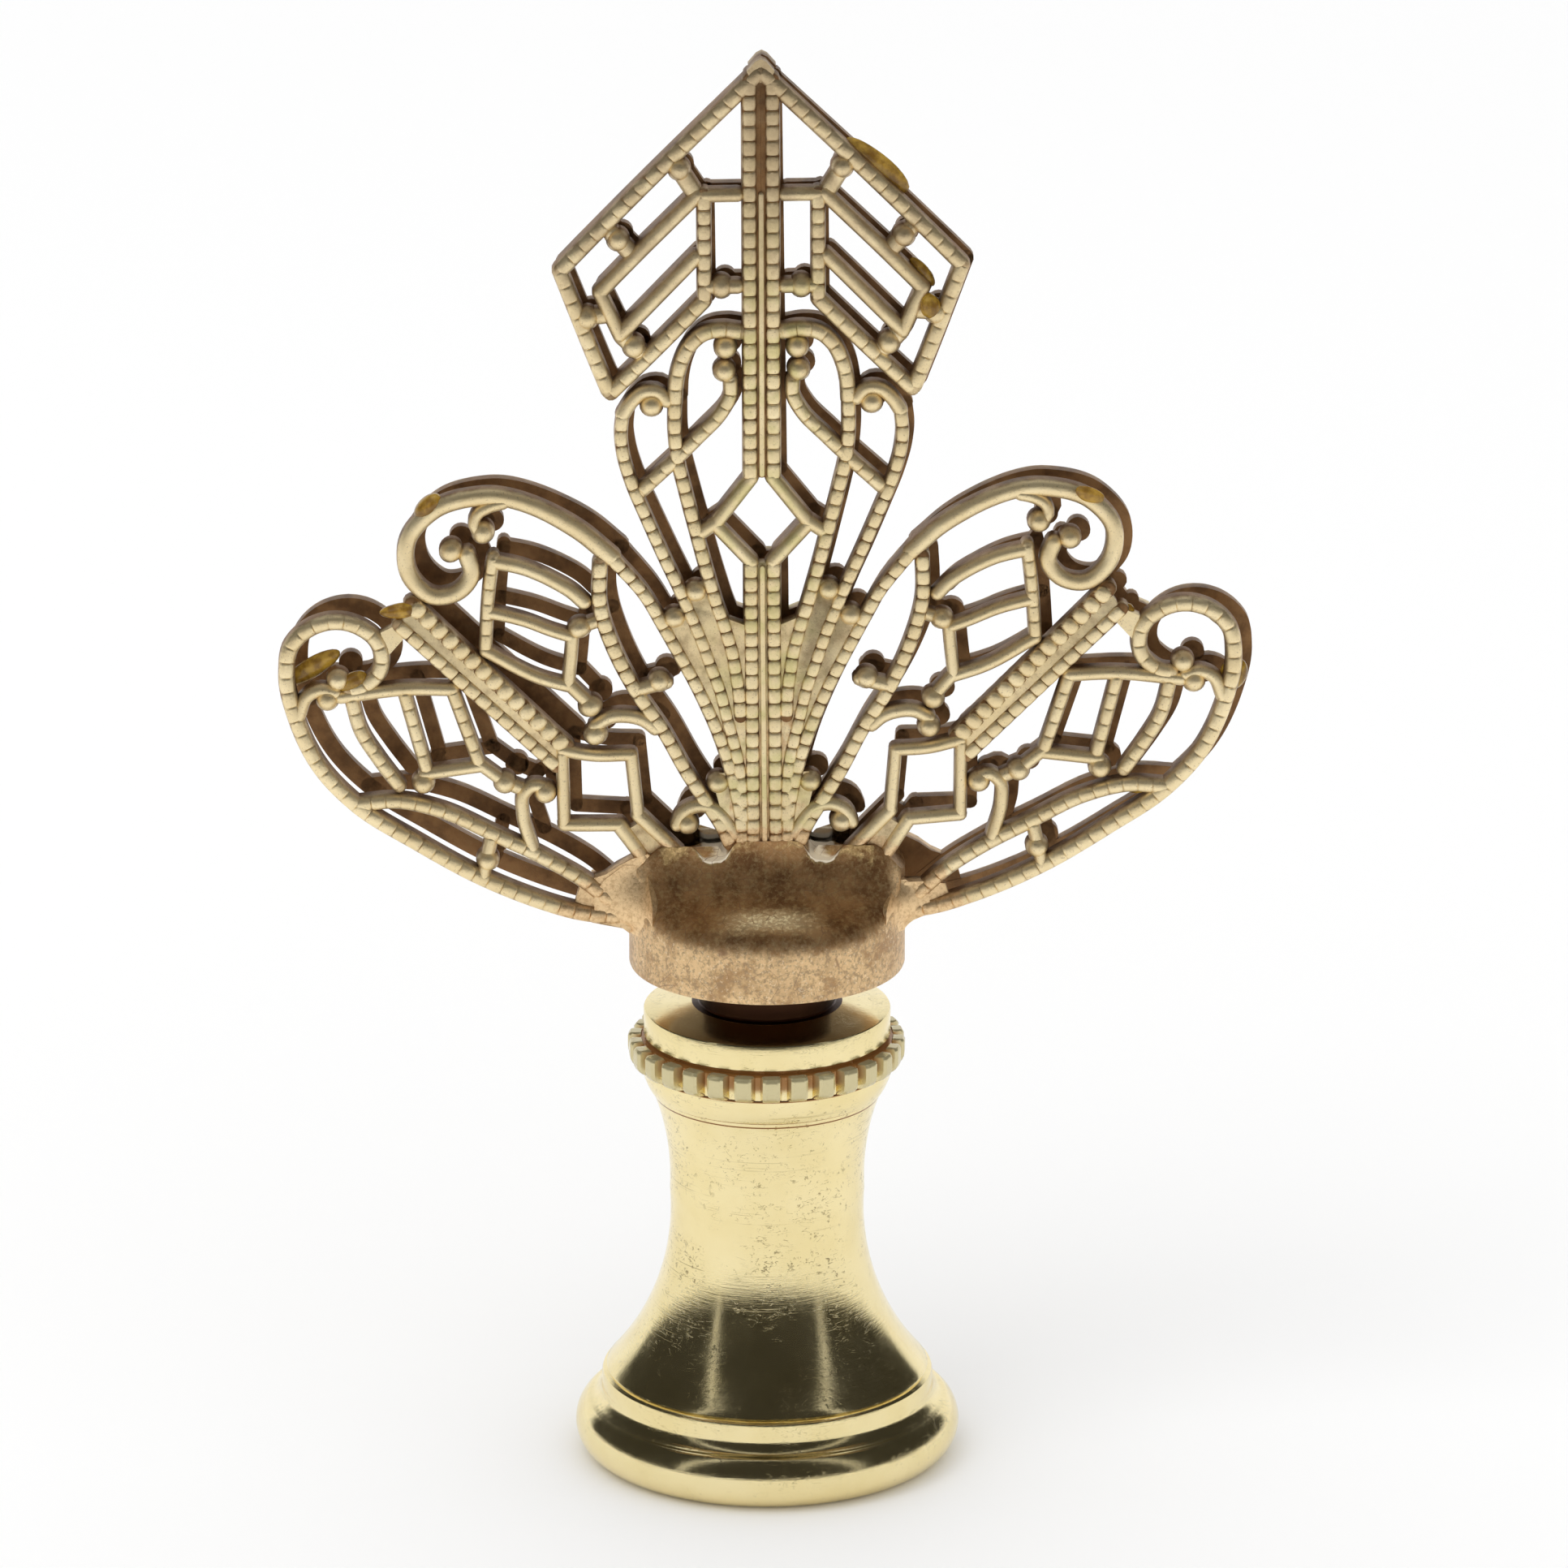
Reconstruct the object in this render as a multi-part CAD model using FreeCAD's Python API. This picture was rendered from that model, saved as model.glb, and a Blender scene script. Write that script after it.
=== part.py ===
import FreeCAD, Part
import math
import os

from FreeCAD import Vector

# Lamp finial: a turned brass spool that screws on the harp stud, with two
# equal filigree stampings set back to back on its neck. Millimetres, +Z up.
# The origin is the centre of the foot's seat, on the axis of the thread.

# Turned base: foot, ring and waist, each height above what is below it
FOOT_R = 8.5
FOOT_HEIGHT = 2.45
FOOT_BULGE_HEIGHT = 1.5
FOOT_SEAT_INSET = 1.5
FOOT_TOP_INSET = 0.55
RING_R = 7.3
RING_STEP = 0.2
RING_HEIGHT = 1.2
GROOVE_DEPTH = 0.22
GROOVE_WIDTH = 0.12
WAIST_R = 4.3
WAIST_RISE = 8.33
FLARE_MID_PROUD = 0.85
FLARE_MID_RISE = 3.13
COLLAR_R = 5.6
COLLAR_RISE = 5.55
COLLAR_MID_PROUD = 0.32
COLLAR_MID_RISE = 3.3

# Turned base: knurled bead ring, band and neck
BEAD_RING_HEIGHT = 1.55
BEAD_PROUD = 0.53
BEAD_CHAMFER = 0.45
BEAD_GROOVE_DEPTH = 0.68
BEAD_GROOVE_WIDTH = 0.5
BEAD_COUNT = 30
BAND_GAP = 0.2
BAND_GAP_DEPTH = 0.27
BAND_R = 5.42
BAND_HEIGHT = 1.15
NECK_R = 3.0
NECK_RISE = 2.1
NECK_SLOT_DEPTH = 0.6
NECK_HEAD_HEIGHT = 1.0
NECK_CONE_RISE = 0.28

# Tapped hole for the harp stud, 1/4-27
THREAD_MAJOR_R = 3.175
THREAD_PITCH = 25.4 / 27
THREAD_DEPTH_IN_PITCHES = 0.54
BORE_DEPTH = 11.0
MOUTH_CHAMFER = 0.4
DRILL_POINT = 1.5

# Half cup at the foot of each stamping
CUP_R = 6.05
CUP_HEIGHT = 3.25
CUP_ROLL_R = 1.1
CUP_SHEET = 0.6
DISH_COVE_R = 2.85
ARCH_TIP_OVERHANG = 0.35
ARCH_TIP_RISE = 0.4
ARCH_SHOULDER_INSET = 0.25
ARCH_SHOULDER_RISE = 1.65
ARCH_CROWN_INSET = 1.45
ARCH_LAP = 0.05
EYE_OFFSET = 2.35
EYE_R = 0.85
FIT_GAP = 0.05

# Filigree lattice, its span and height taken to the centre line of its rim
LEAF_HALF_SPAN = 20.45
LEAF_HEIGHT = 34.6
LEAF_FACE_Y = 1.75
LEAF_THICKNESS = 0.9
LEAF_TOP_GAP = 0.03
LEAF_TILT = 0.45
BACK_LEAF_SHIFT = 0.2
RIB = 0.85
BEADED_RIB = 0.74
BALL_R = 0.5
WEB_THICKNESS = 0.55
SCROLL_STEP_DEG = 24

# Heights that follow from the sizes above
RING_Z = FOOT_HEIGHT + RING_STEP
GROOVE_Z = RING_Z + RING_HEIGHT + GROOVE_WIDTH
WAIST_Z = GROOVE_Z + WAIST_RISE
COLLAR_Z = WAIST_Z + COLLAR_RISE
BAND_Z = COLLAR_Z + BEAD_RING_HEIGHT + BAND_GAP
BAND_TOP_Z = BAND_Z + BAND_HEIGHT
CUP_Z = BAND_TOP_Z + NECK_RISE
CUP_TOP_Z = CUP_Z + CUP_HEIGHT
DISH_CREST_Z = CUP_TOP_Z + DISH_COVE_R
NECK_SLOT_R = NECK_R - NECK_SLOT_DEPTH
BORE_R = THREAD_MAJOR_R - THREAD_DEPTH_IN_PITCHES * THREAD_PITCH
CLOSE = 0.01


ORIGIN = Vector(0, 0, 0)
UP = Vector(0, 0, 1)
BACKWARD = Vector(0, 1, 0)
SIDEWAYS = Vector(1, 0, 0)


def revolve_profile(edges):
    """Solid of revolution about Z of a closed profile in the XZ plane."""
    face = Part.Face(Part.Wire(edges))
    return face.revolve(ORIGIN, UP, 360)


def at(r, z):
    return Vector(r, 0, z)


def line(a, b):
    return Part.makeLine(a, b)


def arc(a, b, c):
    return Part.Arc(a, b, c).toShape()


def turned_curve(a, b, c, steps):
    """The arc through three points, turned in short straight steps."""
    curve = Part.Arc(a, b, c)
    span = curve.LastParameter - curve.FirstParameter
    points = [curve.value(curve.FirstParameter + span * i / steps) for i in range(steps + 1)]
    return [line(start, end) for start, end in zip(points, points[1:])]


def turned_base():
    ring_top = RING_Z + RING_HEIGHT
    bead_top = COLLAR_Z + BEAD_RING_HEIGHT
    band_gap_r = BAND_R - BAND_GAP_DEPTH
    head_z = CUP_Z + CUP_SHEET + FIT_GAP
    head_top = head_z + NECK_HEAD_HEIGHT
    p = {
        "seat": at(FOOT_R - FOOT_SEAT_INSET, 0),
        "foot": at(FOOT_R, FOOT_BULGE_HEIGHT),
        "foot_top": at(FOOT_R - FOOT_TOP_INSET, FOOT_HEIGHT),
        "ring": at(RING_R, RING_Z),
        "ring_top": at(RING_R, ring_top),
        "groove": at(RING_R - GROOVE_DEPTH, GROOVE_Z),
        "flare": at(WAIST_R + FLARE_MID_PROUD, GROOVE_Z + FLARE_MID_RISE),
        "waist": at(WAIST_R, WAIST_Z),
        "collar_mid": at(WAIST_R + COLLAR_MID_PROUD, WAIST_Z + COLLAR_MID_RISE),
        "collar": at(COLLAR_R, COLLAR_Z),
        "bead": at(COLLAR_R + BEAD_PROUD, COLLAR_Z + BEAD_CHAMFER),
        "bead_end": at(COLLAR_R + BEAD_PROUD, bead_top - BEAD_CHAMFER),
        "bead_top": at(COLLAR_R, bead_top),
        "gap": at(band_gap_r, bead_top),
        "gap_top": at(band_gap_r, BAND_Z),
        "band": at(BAND_R, BAND_Z),
        "band_top": at(BAND_R, BAND_TOP_Z),
        "neck_foot": at(NECK_R, BAND_TOP_Z + NECK_CONE_RISE),
        "neck": at(NECK_R, CUP_Z),
        "slot": at(NECK_SLOT_R, CUP_Z),
        "slot_top": at(NECK_SLOT_R, head_z),
        "head": at(NECK_R, head_z),
        "head_top": at(NECK_R, head_top),
        "top": at(0, head_top),
        "bottom": at(0, 0),
    }
    outline = turned_curve(p["seat"], p["foot"], p["foot_top"], 5)
    outline += [
        line(p["foot_top"], p["ring"]),
        line(p["ring"], p["ring_top"]),
        line(p["ring_top"], p["groove"]),
    ]
    outline += turned_curve(p["groove"], p["flare"], p["waist"], 5)
    outline += turned_curve(p["waist"], p["collar_mid"], p["collar"], 3)
    outline += [
        line(p["collar"], p["bead"]),
        line(p["bead"], p["bead_end"]),
        line(p["bead_end"], p["bead_top"]),
        line(p["bead_top"], p["gap"]),
        line(p["gap"], p["gap_top"]),
        line(p["gap_top"], p["band"]),
        line(p["band"], p["band_top"]),
        line(p["band_top"], p["neck_foot"]),
        line(p["neck_foot"], p["neck"]),
        line(p["neck"], p["slot"]),
        line(p["slot"], p["slot_top"]),
        line(p["slot_top"], p["head"]),
        line(p["head"], p["head_top"]),
        line(p["head_top"], p["top"]),
        line(p["top"], p["bottom"]),
        line(p["bottom"], p["seat"]),
    ]
    body = revolve_profile(outline)
    return body.cut(knurl_grooves()).cut(tapped_hole())


def knurl_grooves():
    """Straight gashes, milled along the axis, that part the bead ring."""
    floor_r = COLLAR_R + BEAD_PROUD - BEAD_GROOVE_DEPTH
    gash = Part.makeBox(
        2 * BEAD_GROOVE_DEPTH,
        BEAD_GROOVE_WIDTH,
        BEAD_RING_HEIGHT,
        Vector(floor_r, -BEAD_GROOVE_WIDTH / 2, COLLAR_Z),
    )
    grooves = []
    for i in range(BEAD_COUNT):
        copy = gash.copy()
        copy.rotate(ORIGIN, UP, 360 * i / BEAD_COUNT)
        grooves.append(copy)
    return Part.makeCompound(grooves)


def tapped_hole():
    mouth_r = THREAD_MAJOR_R + MOUTH_CHAMFER / 2
    return revolve_profile([
        line(at(0, 0), at(mouth_r, 0)),
        line(at(mouth_r, 0), at(BORE_R, MOUTH_CHAMFER)),
        line(at(BORE_R, MOUTH_CHAMFER), at(BORE_R, BORE_DEPTH)),
        line(at(BORE_R, BORE_DEPTH), at(0, BORE_DEPTH + DRILL_POINT)),
        line(at(0, BORE_DEPTH + DRILL_POINT), at(0, 0)),
    ])


# The lattice is drawn flat: u across from the spine, v up from the dish's
# crest. Each rib is a centre line; only the right half is written.
# Beaded ribs and bars run straight from point to point.
BEADED = [
    [(0.60, 34.1), (0.60, 16.7)],
    [(0.52, 12.9), (0.52, -0.3)],
    [(8.85, 25.7), (6.75, 20.6)],
    [(2.45, 29.0), (2.45, 24.5)],
    [(3.75, 20.1), (3.65, 17.7), (2.80, 14.1), (1.80, 10.1), (1.05, 6.1)],
    [(6.00, 19.6), (6.00, 17.9), (5.05, 15.1), (3.50, 11.1), (2.05, 7.1)],
    [(6.55, 13.2), (5.10, 11.3), (3.50, 8.1), (1.90, 4.1), (1.10, -0.2)],
    [(6.95, 13.1), (6.95, 11.1), (5.60, 7.1), (4.30, 5.1), (2.10, 1.8)],
    [(14.9, 11.2), (8.45, 4.7)],
    [(15.4, 10.0), (8.75, 3.8)],
    [(11.5, 13.2), (11.85, 9.1)],
    [(13.3, 7.2), (12.2, 3.9)],
    [(15.4, 7.2), (14.5, 3.7)],
    [(17.7, 7.0), (17.1, 5.3), (15.7, 3.0)],
]
BARS = [
    [(0.0, 34.6), (8.9, 25.8)],
    [(2.45, 24.45), (6.65, 20.35)],
    [(1.0, 29.1), (2.45, 29.1)],
    [(1.0, 25.25), (2.2, 25.25)],
    [(3.15, 28.7), (6.95, 25.0), (6.1, 23.15), (2.8, 26.3)],
    [(1.35, 21.1), (1.4, 20.2), (2.8, 18.4), (5.2, 16.1)],
    [(0.45, 16.6), (1.95, 14.6), (0.45, 12.85)],
    [(1.95, 14.6), (2.6, 14.3)],
    [(4.2, 7.2), (5.4, 6.9)],
    [(8.1, 9.7), (11.7, 10.8)],
    [(8.15, 9.7), (8.3, 7.5), (11.85, 9.0)],
    [(7.5, 6.6), (8.3, 7.5)],
    [(5.4, 1.4), (5.75, 4.0), (8.6, 4.3)],
    [(8.6, 4.3), (8.5, 1.1), (5.6, 0.9)],
    [(5.4, 1.4), (3.3, -0.2)],
    [(6.1, 0.8), (5.0, -0.6)],
    [(13.3, 7.2), (18.2, 7.1)],
    [(12.1, 3.8), (14.6, 3.5)],
    [(11.2, 3.2), (12.2, 3.9)],
    [(11.75, 0.6), (12.1, -0.9)],
]
# Scrolls and rims run in arcs, each through three points, end to end.
SCROLLS = [
    [(0.9, 23.05), (1.7, 23.15), (2.5, 23.0), (3.4, 22.0), (3.75, 20.1)],
    [(4.1, 20.15), (4.95, 20.6), (6.0, 19.6)],
    [(7.4, 11.2), (9.1, 12.5), (11.5, 13.1)],
    [(6.55, 13.2), (9.0, 15.05), (12.2, 15.85), (14.5, 15.05), (15.2, 13.4), (14.6, 12.15), (13.3, 11.9),
     (12.6, 12.4), (12.35, 13.2)],
    [(11.0, 15.6), (12.1, 15.15), (12.0, 14.0)],
    [(4.7, 5.1), (5.9, 5.72), (7.2, 5.4)],
    [(1.3, 0.3), (2.5, 1.75), (3.75, 0.9)],
    [(15.2, 10.0), (16.8, 10.8), (18.4, 10.95), (19.9, 10.0), (20.45, 8.4), (19.7, 5.3), (17.6, 2.4),
     (12.0, -0.9), (6.2, -3.1)],
    [(16.4, 10.5), (16.5, 8.8), (18.0, 7.85)],
    [(18.4, 7.5), (19.3, 7.7), (19.95, 6.7)],
    [(9.3, 2.7), (10.35, 2.2), (9.95, 0.2)],
    [(17.5, 2.4), (15.8, 2.45), (14.0, 1.95), (9.8, -0.1), (6.4, -2.7)],
]
BALLS = [
    (3.5, 30.2), (6.3, 27.4), (7.45, 24.1), (5.35, 22.95), (1.55, 22.5), (1.6, 21.5), (4.75, 20.1),
    (2.5, 29.3), (2.85, 11.6), (3.85, 10.5), (4.15, 7.3), (7.72, 10.2), (12.85, 13.4), (11.6, 14.2),
    (7.2, 5.1), (7.4, 6.4), (3.35, 0.95), (1.95, 2.85), (18.05, 8.35), (18.6, 7.15),
    (14.65, 3.2), (11.1, 3.1), (9.35, 2.65), (11.9, -0.2),
]
SPINE_WEB = [(0.0, 34.3), (0.6, 34.3), (0.6, 16.8), (0.0, 16.8)]
FAN_WEB = [
    (0.0, 12.9), (0.6, 12.9), (0.6, 10.3), (1.5, 10.2), (2.1, 11.4), (3.4, 11.4), (3.8, 10.4),
    (4.4, 10.3), (2.6, 6.1), (1.9, 4.1), (1.8, 2.7), (1.2, -0.3), (0.0, -0.3),
]
ROOT_PLATE = [
    (5.0, -0.6), (5.8, -0.6), (6.4, -0.9), (6.9, -1.2), (8.0, -2.0), (8.0, -2.4), (7.9, -3.45), (7.0, -3.6),
    (6.15, -3.75), (5.9, -4.05), (5.6, -3.0), (5.6, -1.9),
]
DRAWN_HALF_SPAN = max(u for path in SCROLLS for u, v in path)
DRAWN_HEIGHT = max(v for path in BARS for u, v in path)


def on_leaf(u, v):
    """A point of the drawing, at the stamping's real width and height."""
    return Vector(u * LEAF_HALF_SPAN / DRAWN_HALF_SPAN, DISH_CREST_Z + v * LEAF_HEIGHT / DRAWN_HEIGHT, 0)


def unit(vector):
    return vector / vector.Length


def scroll_path(points):
    """Arcs through three points each, end to end, taken in short straight steps."""
    path = [on_leaf(*points[0])]
    for i in range(0, len(points) - 2, 2):
        curve = Part.Arc(*[on_leaf(u, v) for u, v in points[i:i + 3]])
        turn = curve.LastParameter - curve.FirstParameter
        steps = math.ceil(math.degrees(turn) / SCROLL_STEP_DEG)
        path += [curve.value(curve.FirstParameter + turn * k / steps) for k in range(1, steps + 1)]
    return path


def rib_face(path, width):
    """Flat strip of one width along a centre line, its ends cut to a half octagon."""
    runs = [unit(b - a) for a, b in zip(path, path[1:])]
    left = []
    right = []
    for point, before, after in zip(path, runs[:1] + runs, runs + runs[-1:]):
        tangent = unit(before + after)
        side = Vector(-tangent.y, tangent.x, 0) * (width / 2 / tangent.dot(before))
        left.append(point + side)
        right.append(point - side)
    edges = straight_edges(left)
    edges += blunt_end(left[-1], right[-1], runs[-1] * (width / 2))
    edges += straight_edges(right[::-1])
    edges += blunt_end(right[0], left[0], runs[0] * (-width / 2))
    return Part.Face(Part.Wire(edges))


def straight_edges(points):
    return [line(a, b) for a, b in zip(points, points[1:])]


def blunt_end(start, end, reach):
    """Three straight edges round a strip's end, as half an octagon."""
    middle = (start + end) / 2
    first = middle + (start - middle + reach) * math.sqrt(0.5)
    last = middle + (end - middle + reach) * math.sqrt(0.5)
    return [line(start, first), line(first, last), line(last, end)]


def octagon(centre, radius):
    """The eight-sided outline that a struck ball has before it is rounded."""
    corners = []
    for i in range(8):
        angle = math.radians(45 * i + 22.5)
        corners.append(centre + Vector(math.cos(angle), math.sin(angle), 0) * radius)
    return Part.Face(Part.makePolygon(corners + corners[:1]))


def with_mirror_image(shape):
    """The shape and its reflection across the spine."""
    return [shape, shape.mirror(ORIGIN, SIDEWAYS)]


def joined(shapes):
    return shapes[0].multiFuse(shapes[1:]).removeSplitter()


def lattice():
    """The open filigree, lying flat with its face up: ribs, balls, recessed webs and root plates."""
    strips = [rib_face([on_leaf(u, v) for u, v in points], BEADED_RIB) for points in BEADED]
    strips += [rib_face([on_leaf(u, v) for u, v in points], RIB) for points in BARS]
    strips += [rib_face(scroll_path(points), RIB) for points in SCROLLS]
    strips += [octagon(on_leaf(u, v), BALL_R) for u, v in BALLS]
    solids = [strip.extrude(Vector(0, 0, LEAF_THICKNESS)) for strip in strips]
    solids += [plate(SPINE_WEB, WEB_THICKNESS), plate(FAN_WEB, WEB_THICKNESS), plate(ROOT_PLATE, LEAF_THICKNESS)]
    return joined(with_mirror_image(joined(solids)))


def plate(outline, thickness):
    corners = [on_leaf(u, v) for u, v in outline]
    return Part.Face(Part.makePolygon(corners + corners[:1])).extrude(Vector(0, 0, thickness))


def leaned_back(flat):
    """Turn the flat lattice upright, face to the front, its top leaning on the other one."""
    inner_y = LEAF_FACE_Y - LEAF_THICKNESS
    lean = math.degrees(math.asin((inner_y - LEAF_TOP_GAP) / (LEAF_HEIGHT + RIB)))
    flat.rotate(ORIGIN, SIDEWAYS, 90)
    flat.translate(Vector(0, -inner_y, 0))
    flat.rotate(Vector(0, -inner_y, DISH_CREST_Z), SIDEWAYS, -lean)
    return flat


def tilted(shape):
    """Both stampings were fixed a little out of upright, to the same side."""
    shape.rotate(Vector(0, 0, DISH_CREST_Z), BACKWARD, -LEAF_TILT)
    return shape


def turned_round(shape):
    copy = shape.copy()
    copy.rotate(ORIGIN, UP, 180)
    return copy


def cup_block(inset):
    """Half drum whose top sweeps up in a cove to the leaf's face."""
    radius = CUP_R - inset
    top = CUP_TOP_Z - inset
    floor = CUP_Z + inset
    face_y = inset - LEAF_FACE_Y
    cove_y = -(LEAF_FACE_Y + DISH_COVE_R)
    diagonal = (DISH_COVE_R + inset) * math.sqrt(0.5)
    corners = [
        Vector(-CUP_R, 0, floor),
        Vector(-CUP_R, 0, DISH_CREST_Z),
        Vector(-CUP_R, face_y, DISH_CREST_Z),
        Vector(-CUP_R, cove_y, top),
        Vector(-CUP_R, -CUP_R, top),
        Vector(-CUP_R, -CUP_R, floor),
    ]
    sweep = Vector(-CUP_R, cove_y + diagonal, DISH_CREST_Z - diagonal)
    section = Part.Wire([
        line(corners[0], corners[1]),
        line(corners[1], corners[2]),
        arc(corners[2], sweep, corners[3]),
        line(corners[3], corners[4]),
        line(corners[4], corners[5]),
        line(corners[5], corners[0]),
    ])
    bar = Part.Face(section).extrude(Vector(2 * CUP_R, 0, 0))
    return bar.common(Part.makeCylinder(radius, DISH_CREST_Z))


def rolled(block):
    """The block with its upper rim rolled over, in front of the leaf's face."""
    rim = []
    for edge in block.Edges:
        middle = edge.valueAt((edge.FirstParameter + edge.LastParameter) / 2)
        on_wall = abs(math.hypot(middle.x, middle.y) - CUP_R) < CLOSE
        above_floor = CUP_Z + CLOSE < middle.z < DISH_CREST_Z - CLOSE
        if on_wall and above_floor and middle.y < -LEAF_FACE_Y:
            rim.append(edge)
    return block.makeFillet(CUP_ROLL_R, rim)


def arch():
    """Outline of the dish seen from the front, drawn right through both halves."""
    crest = DISH_CREST_Z - ARCH_LAP
    tip = Vector(CUP_R + ARCH_TIP_OVERHANG, 0, CUP_TOP_Z + ARCH_TIP_RISE)
    shoulder = Vector(CUP_R - ARCH_SHOULDER_INSET, 0, CUP_TOP_Z + ARCH_SHOULDER_RISE)
    crown = Vector(CUP_R - ARCH_CROWN_INSET, 0, crest)
    foot = Vector(tip.x, 0, 0)
    outline = Part.Wire([
        line(across(foot), across(tip)),
        arc(across(tip), across(shoulder), across(crown)),
        line(across(crown), crown),
        arc(crown, shoulder, tip),
        line(tip, foot),
        line(foot, across(foot)),
    ])
    return Part.Face(outline).extrude(Vector(0, -2 * CUP_R, 0))


def across(point):
    """The point's mirror image on the other side of the spine."""
    return Vector(-point.x, point.y, point.z)


def half_cup():
    shell = rolled(cup_block(0)).common(arch()).cut(cup_block(CUP_SHEET))
    notch = Part.makeCylinder(NECK_SLOT_R + FIT_GAP, CUP_SHEET, Vector(0, 0, CUP_Z))
    eye = Part.makeCylinder(EYE_R, CUP_R, Vector(EYE_OFFSET, 0, DISH_CREST_Z), -BACKWARD)
    return shell.cut(notch).cut(Part.makeCompound(with_mirror_image(eye)))


def main():
    os.makedirs("parts", exist_ok=True)
    turned_base().exportStep("parts/turned_base.step")
    upright = leaned_back(lattice())
    cup = half_cup()
    reverse = turned_round(upright)
    reverse.translate(SIDEWAYS * BACK_LEAF_SHIFT)
    front = tilted(upright).fuse(cup)
    back = tilted(reverse).fuse(turned_round(cup))
    front.exportStep("parts/front_leaf.step")
    back.exportStep("parts/back_leaf.step")


main()
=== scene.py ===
import math

import bmesh
import bpy
import numpy as np
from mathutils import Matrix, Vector

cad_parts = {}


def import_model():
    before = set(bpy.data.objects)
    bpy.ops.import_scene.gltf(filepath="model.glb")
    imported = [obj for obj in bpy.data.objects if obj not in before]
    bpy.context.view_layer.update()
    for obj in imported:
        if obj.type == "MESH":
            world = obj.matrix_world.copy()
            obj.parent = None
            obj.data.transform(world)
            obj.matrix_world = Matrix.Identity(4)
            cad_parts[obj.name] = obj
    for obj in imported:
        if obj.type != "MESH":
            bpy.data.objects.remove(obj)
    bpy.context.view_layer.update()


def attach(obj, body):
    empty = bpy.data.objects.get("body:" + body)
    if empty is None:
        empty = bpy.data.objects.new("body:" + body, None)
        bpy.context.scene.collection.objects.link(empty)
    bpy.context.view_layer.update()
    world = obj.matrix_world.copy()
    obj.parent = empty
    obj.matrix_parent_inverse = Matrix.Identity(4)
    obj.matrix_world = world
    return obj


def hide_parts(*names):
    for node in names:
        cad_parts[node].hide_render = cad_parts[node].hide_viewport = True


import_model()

# Lamp finial: polished turned spool, two filigree stampings back to back and lumps of old glue.
# Lengths are in millimetres, apart from the table, the dark room and its panels, in metres.
MM = 0.001
rng = np.random.default_rng(7)

# How the two leaves stand
CREST = 28.95  # top of the half cups above the foot
DRAWN_CREST = 29.0  # the same place in the filigree drawing
LEAF_BACK_Y = 0.85
LEAF_LEAN = math.radians(1.325)
LEAF_TILT = math.radians(0.45)
FRONT_SHIFT = -0.15
BACK_SHIFT = 0.22
HALF_TURN = (-1, -1, 1)
# How far the struck sheet is out of true
KITE_LEAN = 0.006  # sideways for each millimetre of height
KITE_RISE = 0.12
MIDDLE_SINK = 0.25
LEFT_SHIFT = 0.18
LEFT_SINK = 0.17
PETAL_DROOP = 0.0125  # for each millimetre across

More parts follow.
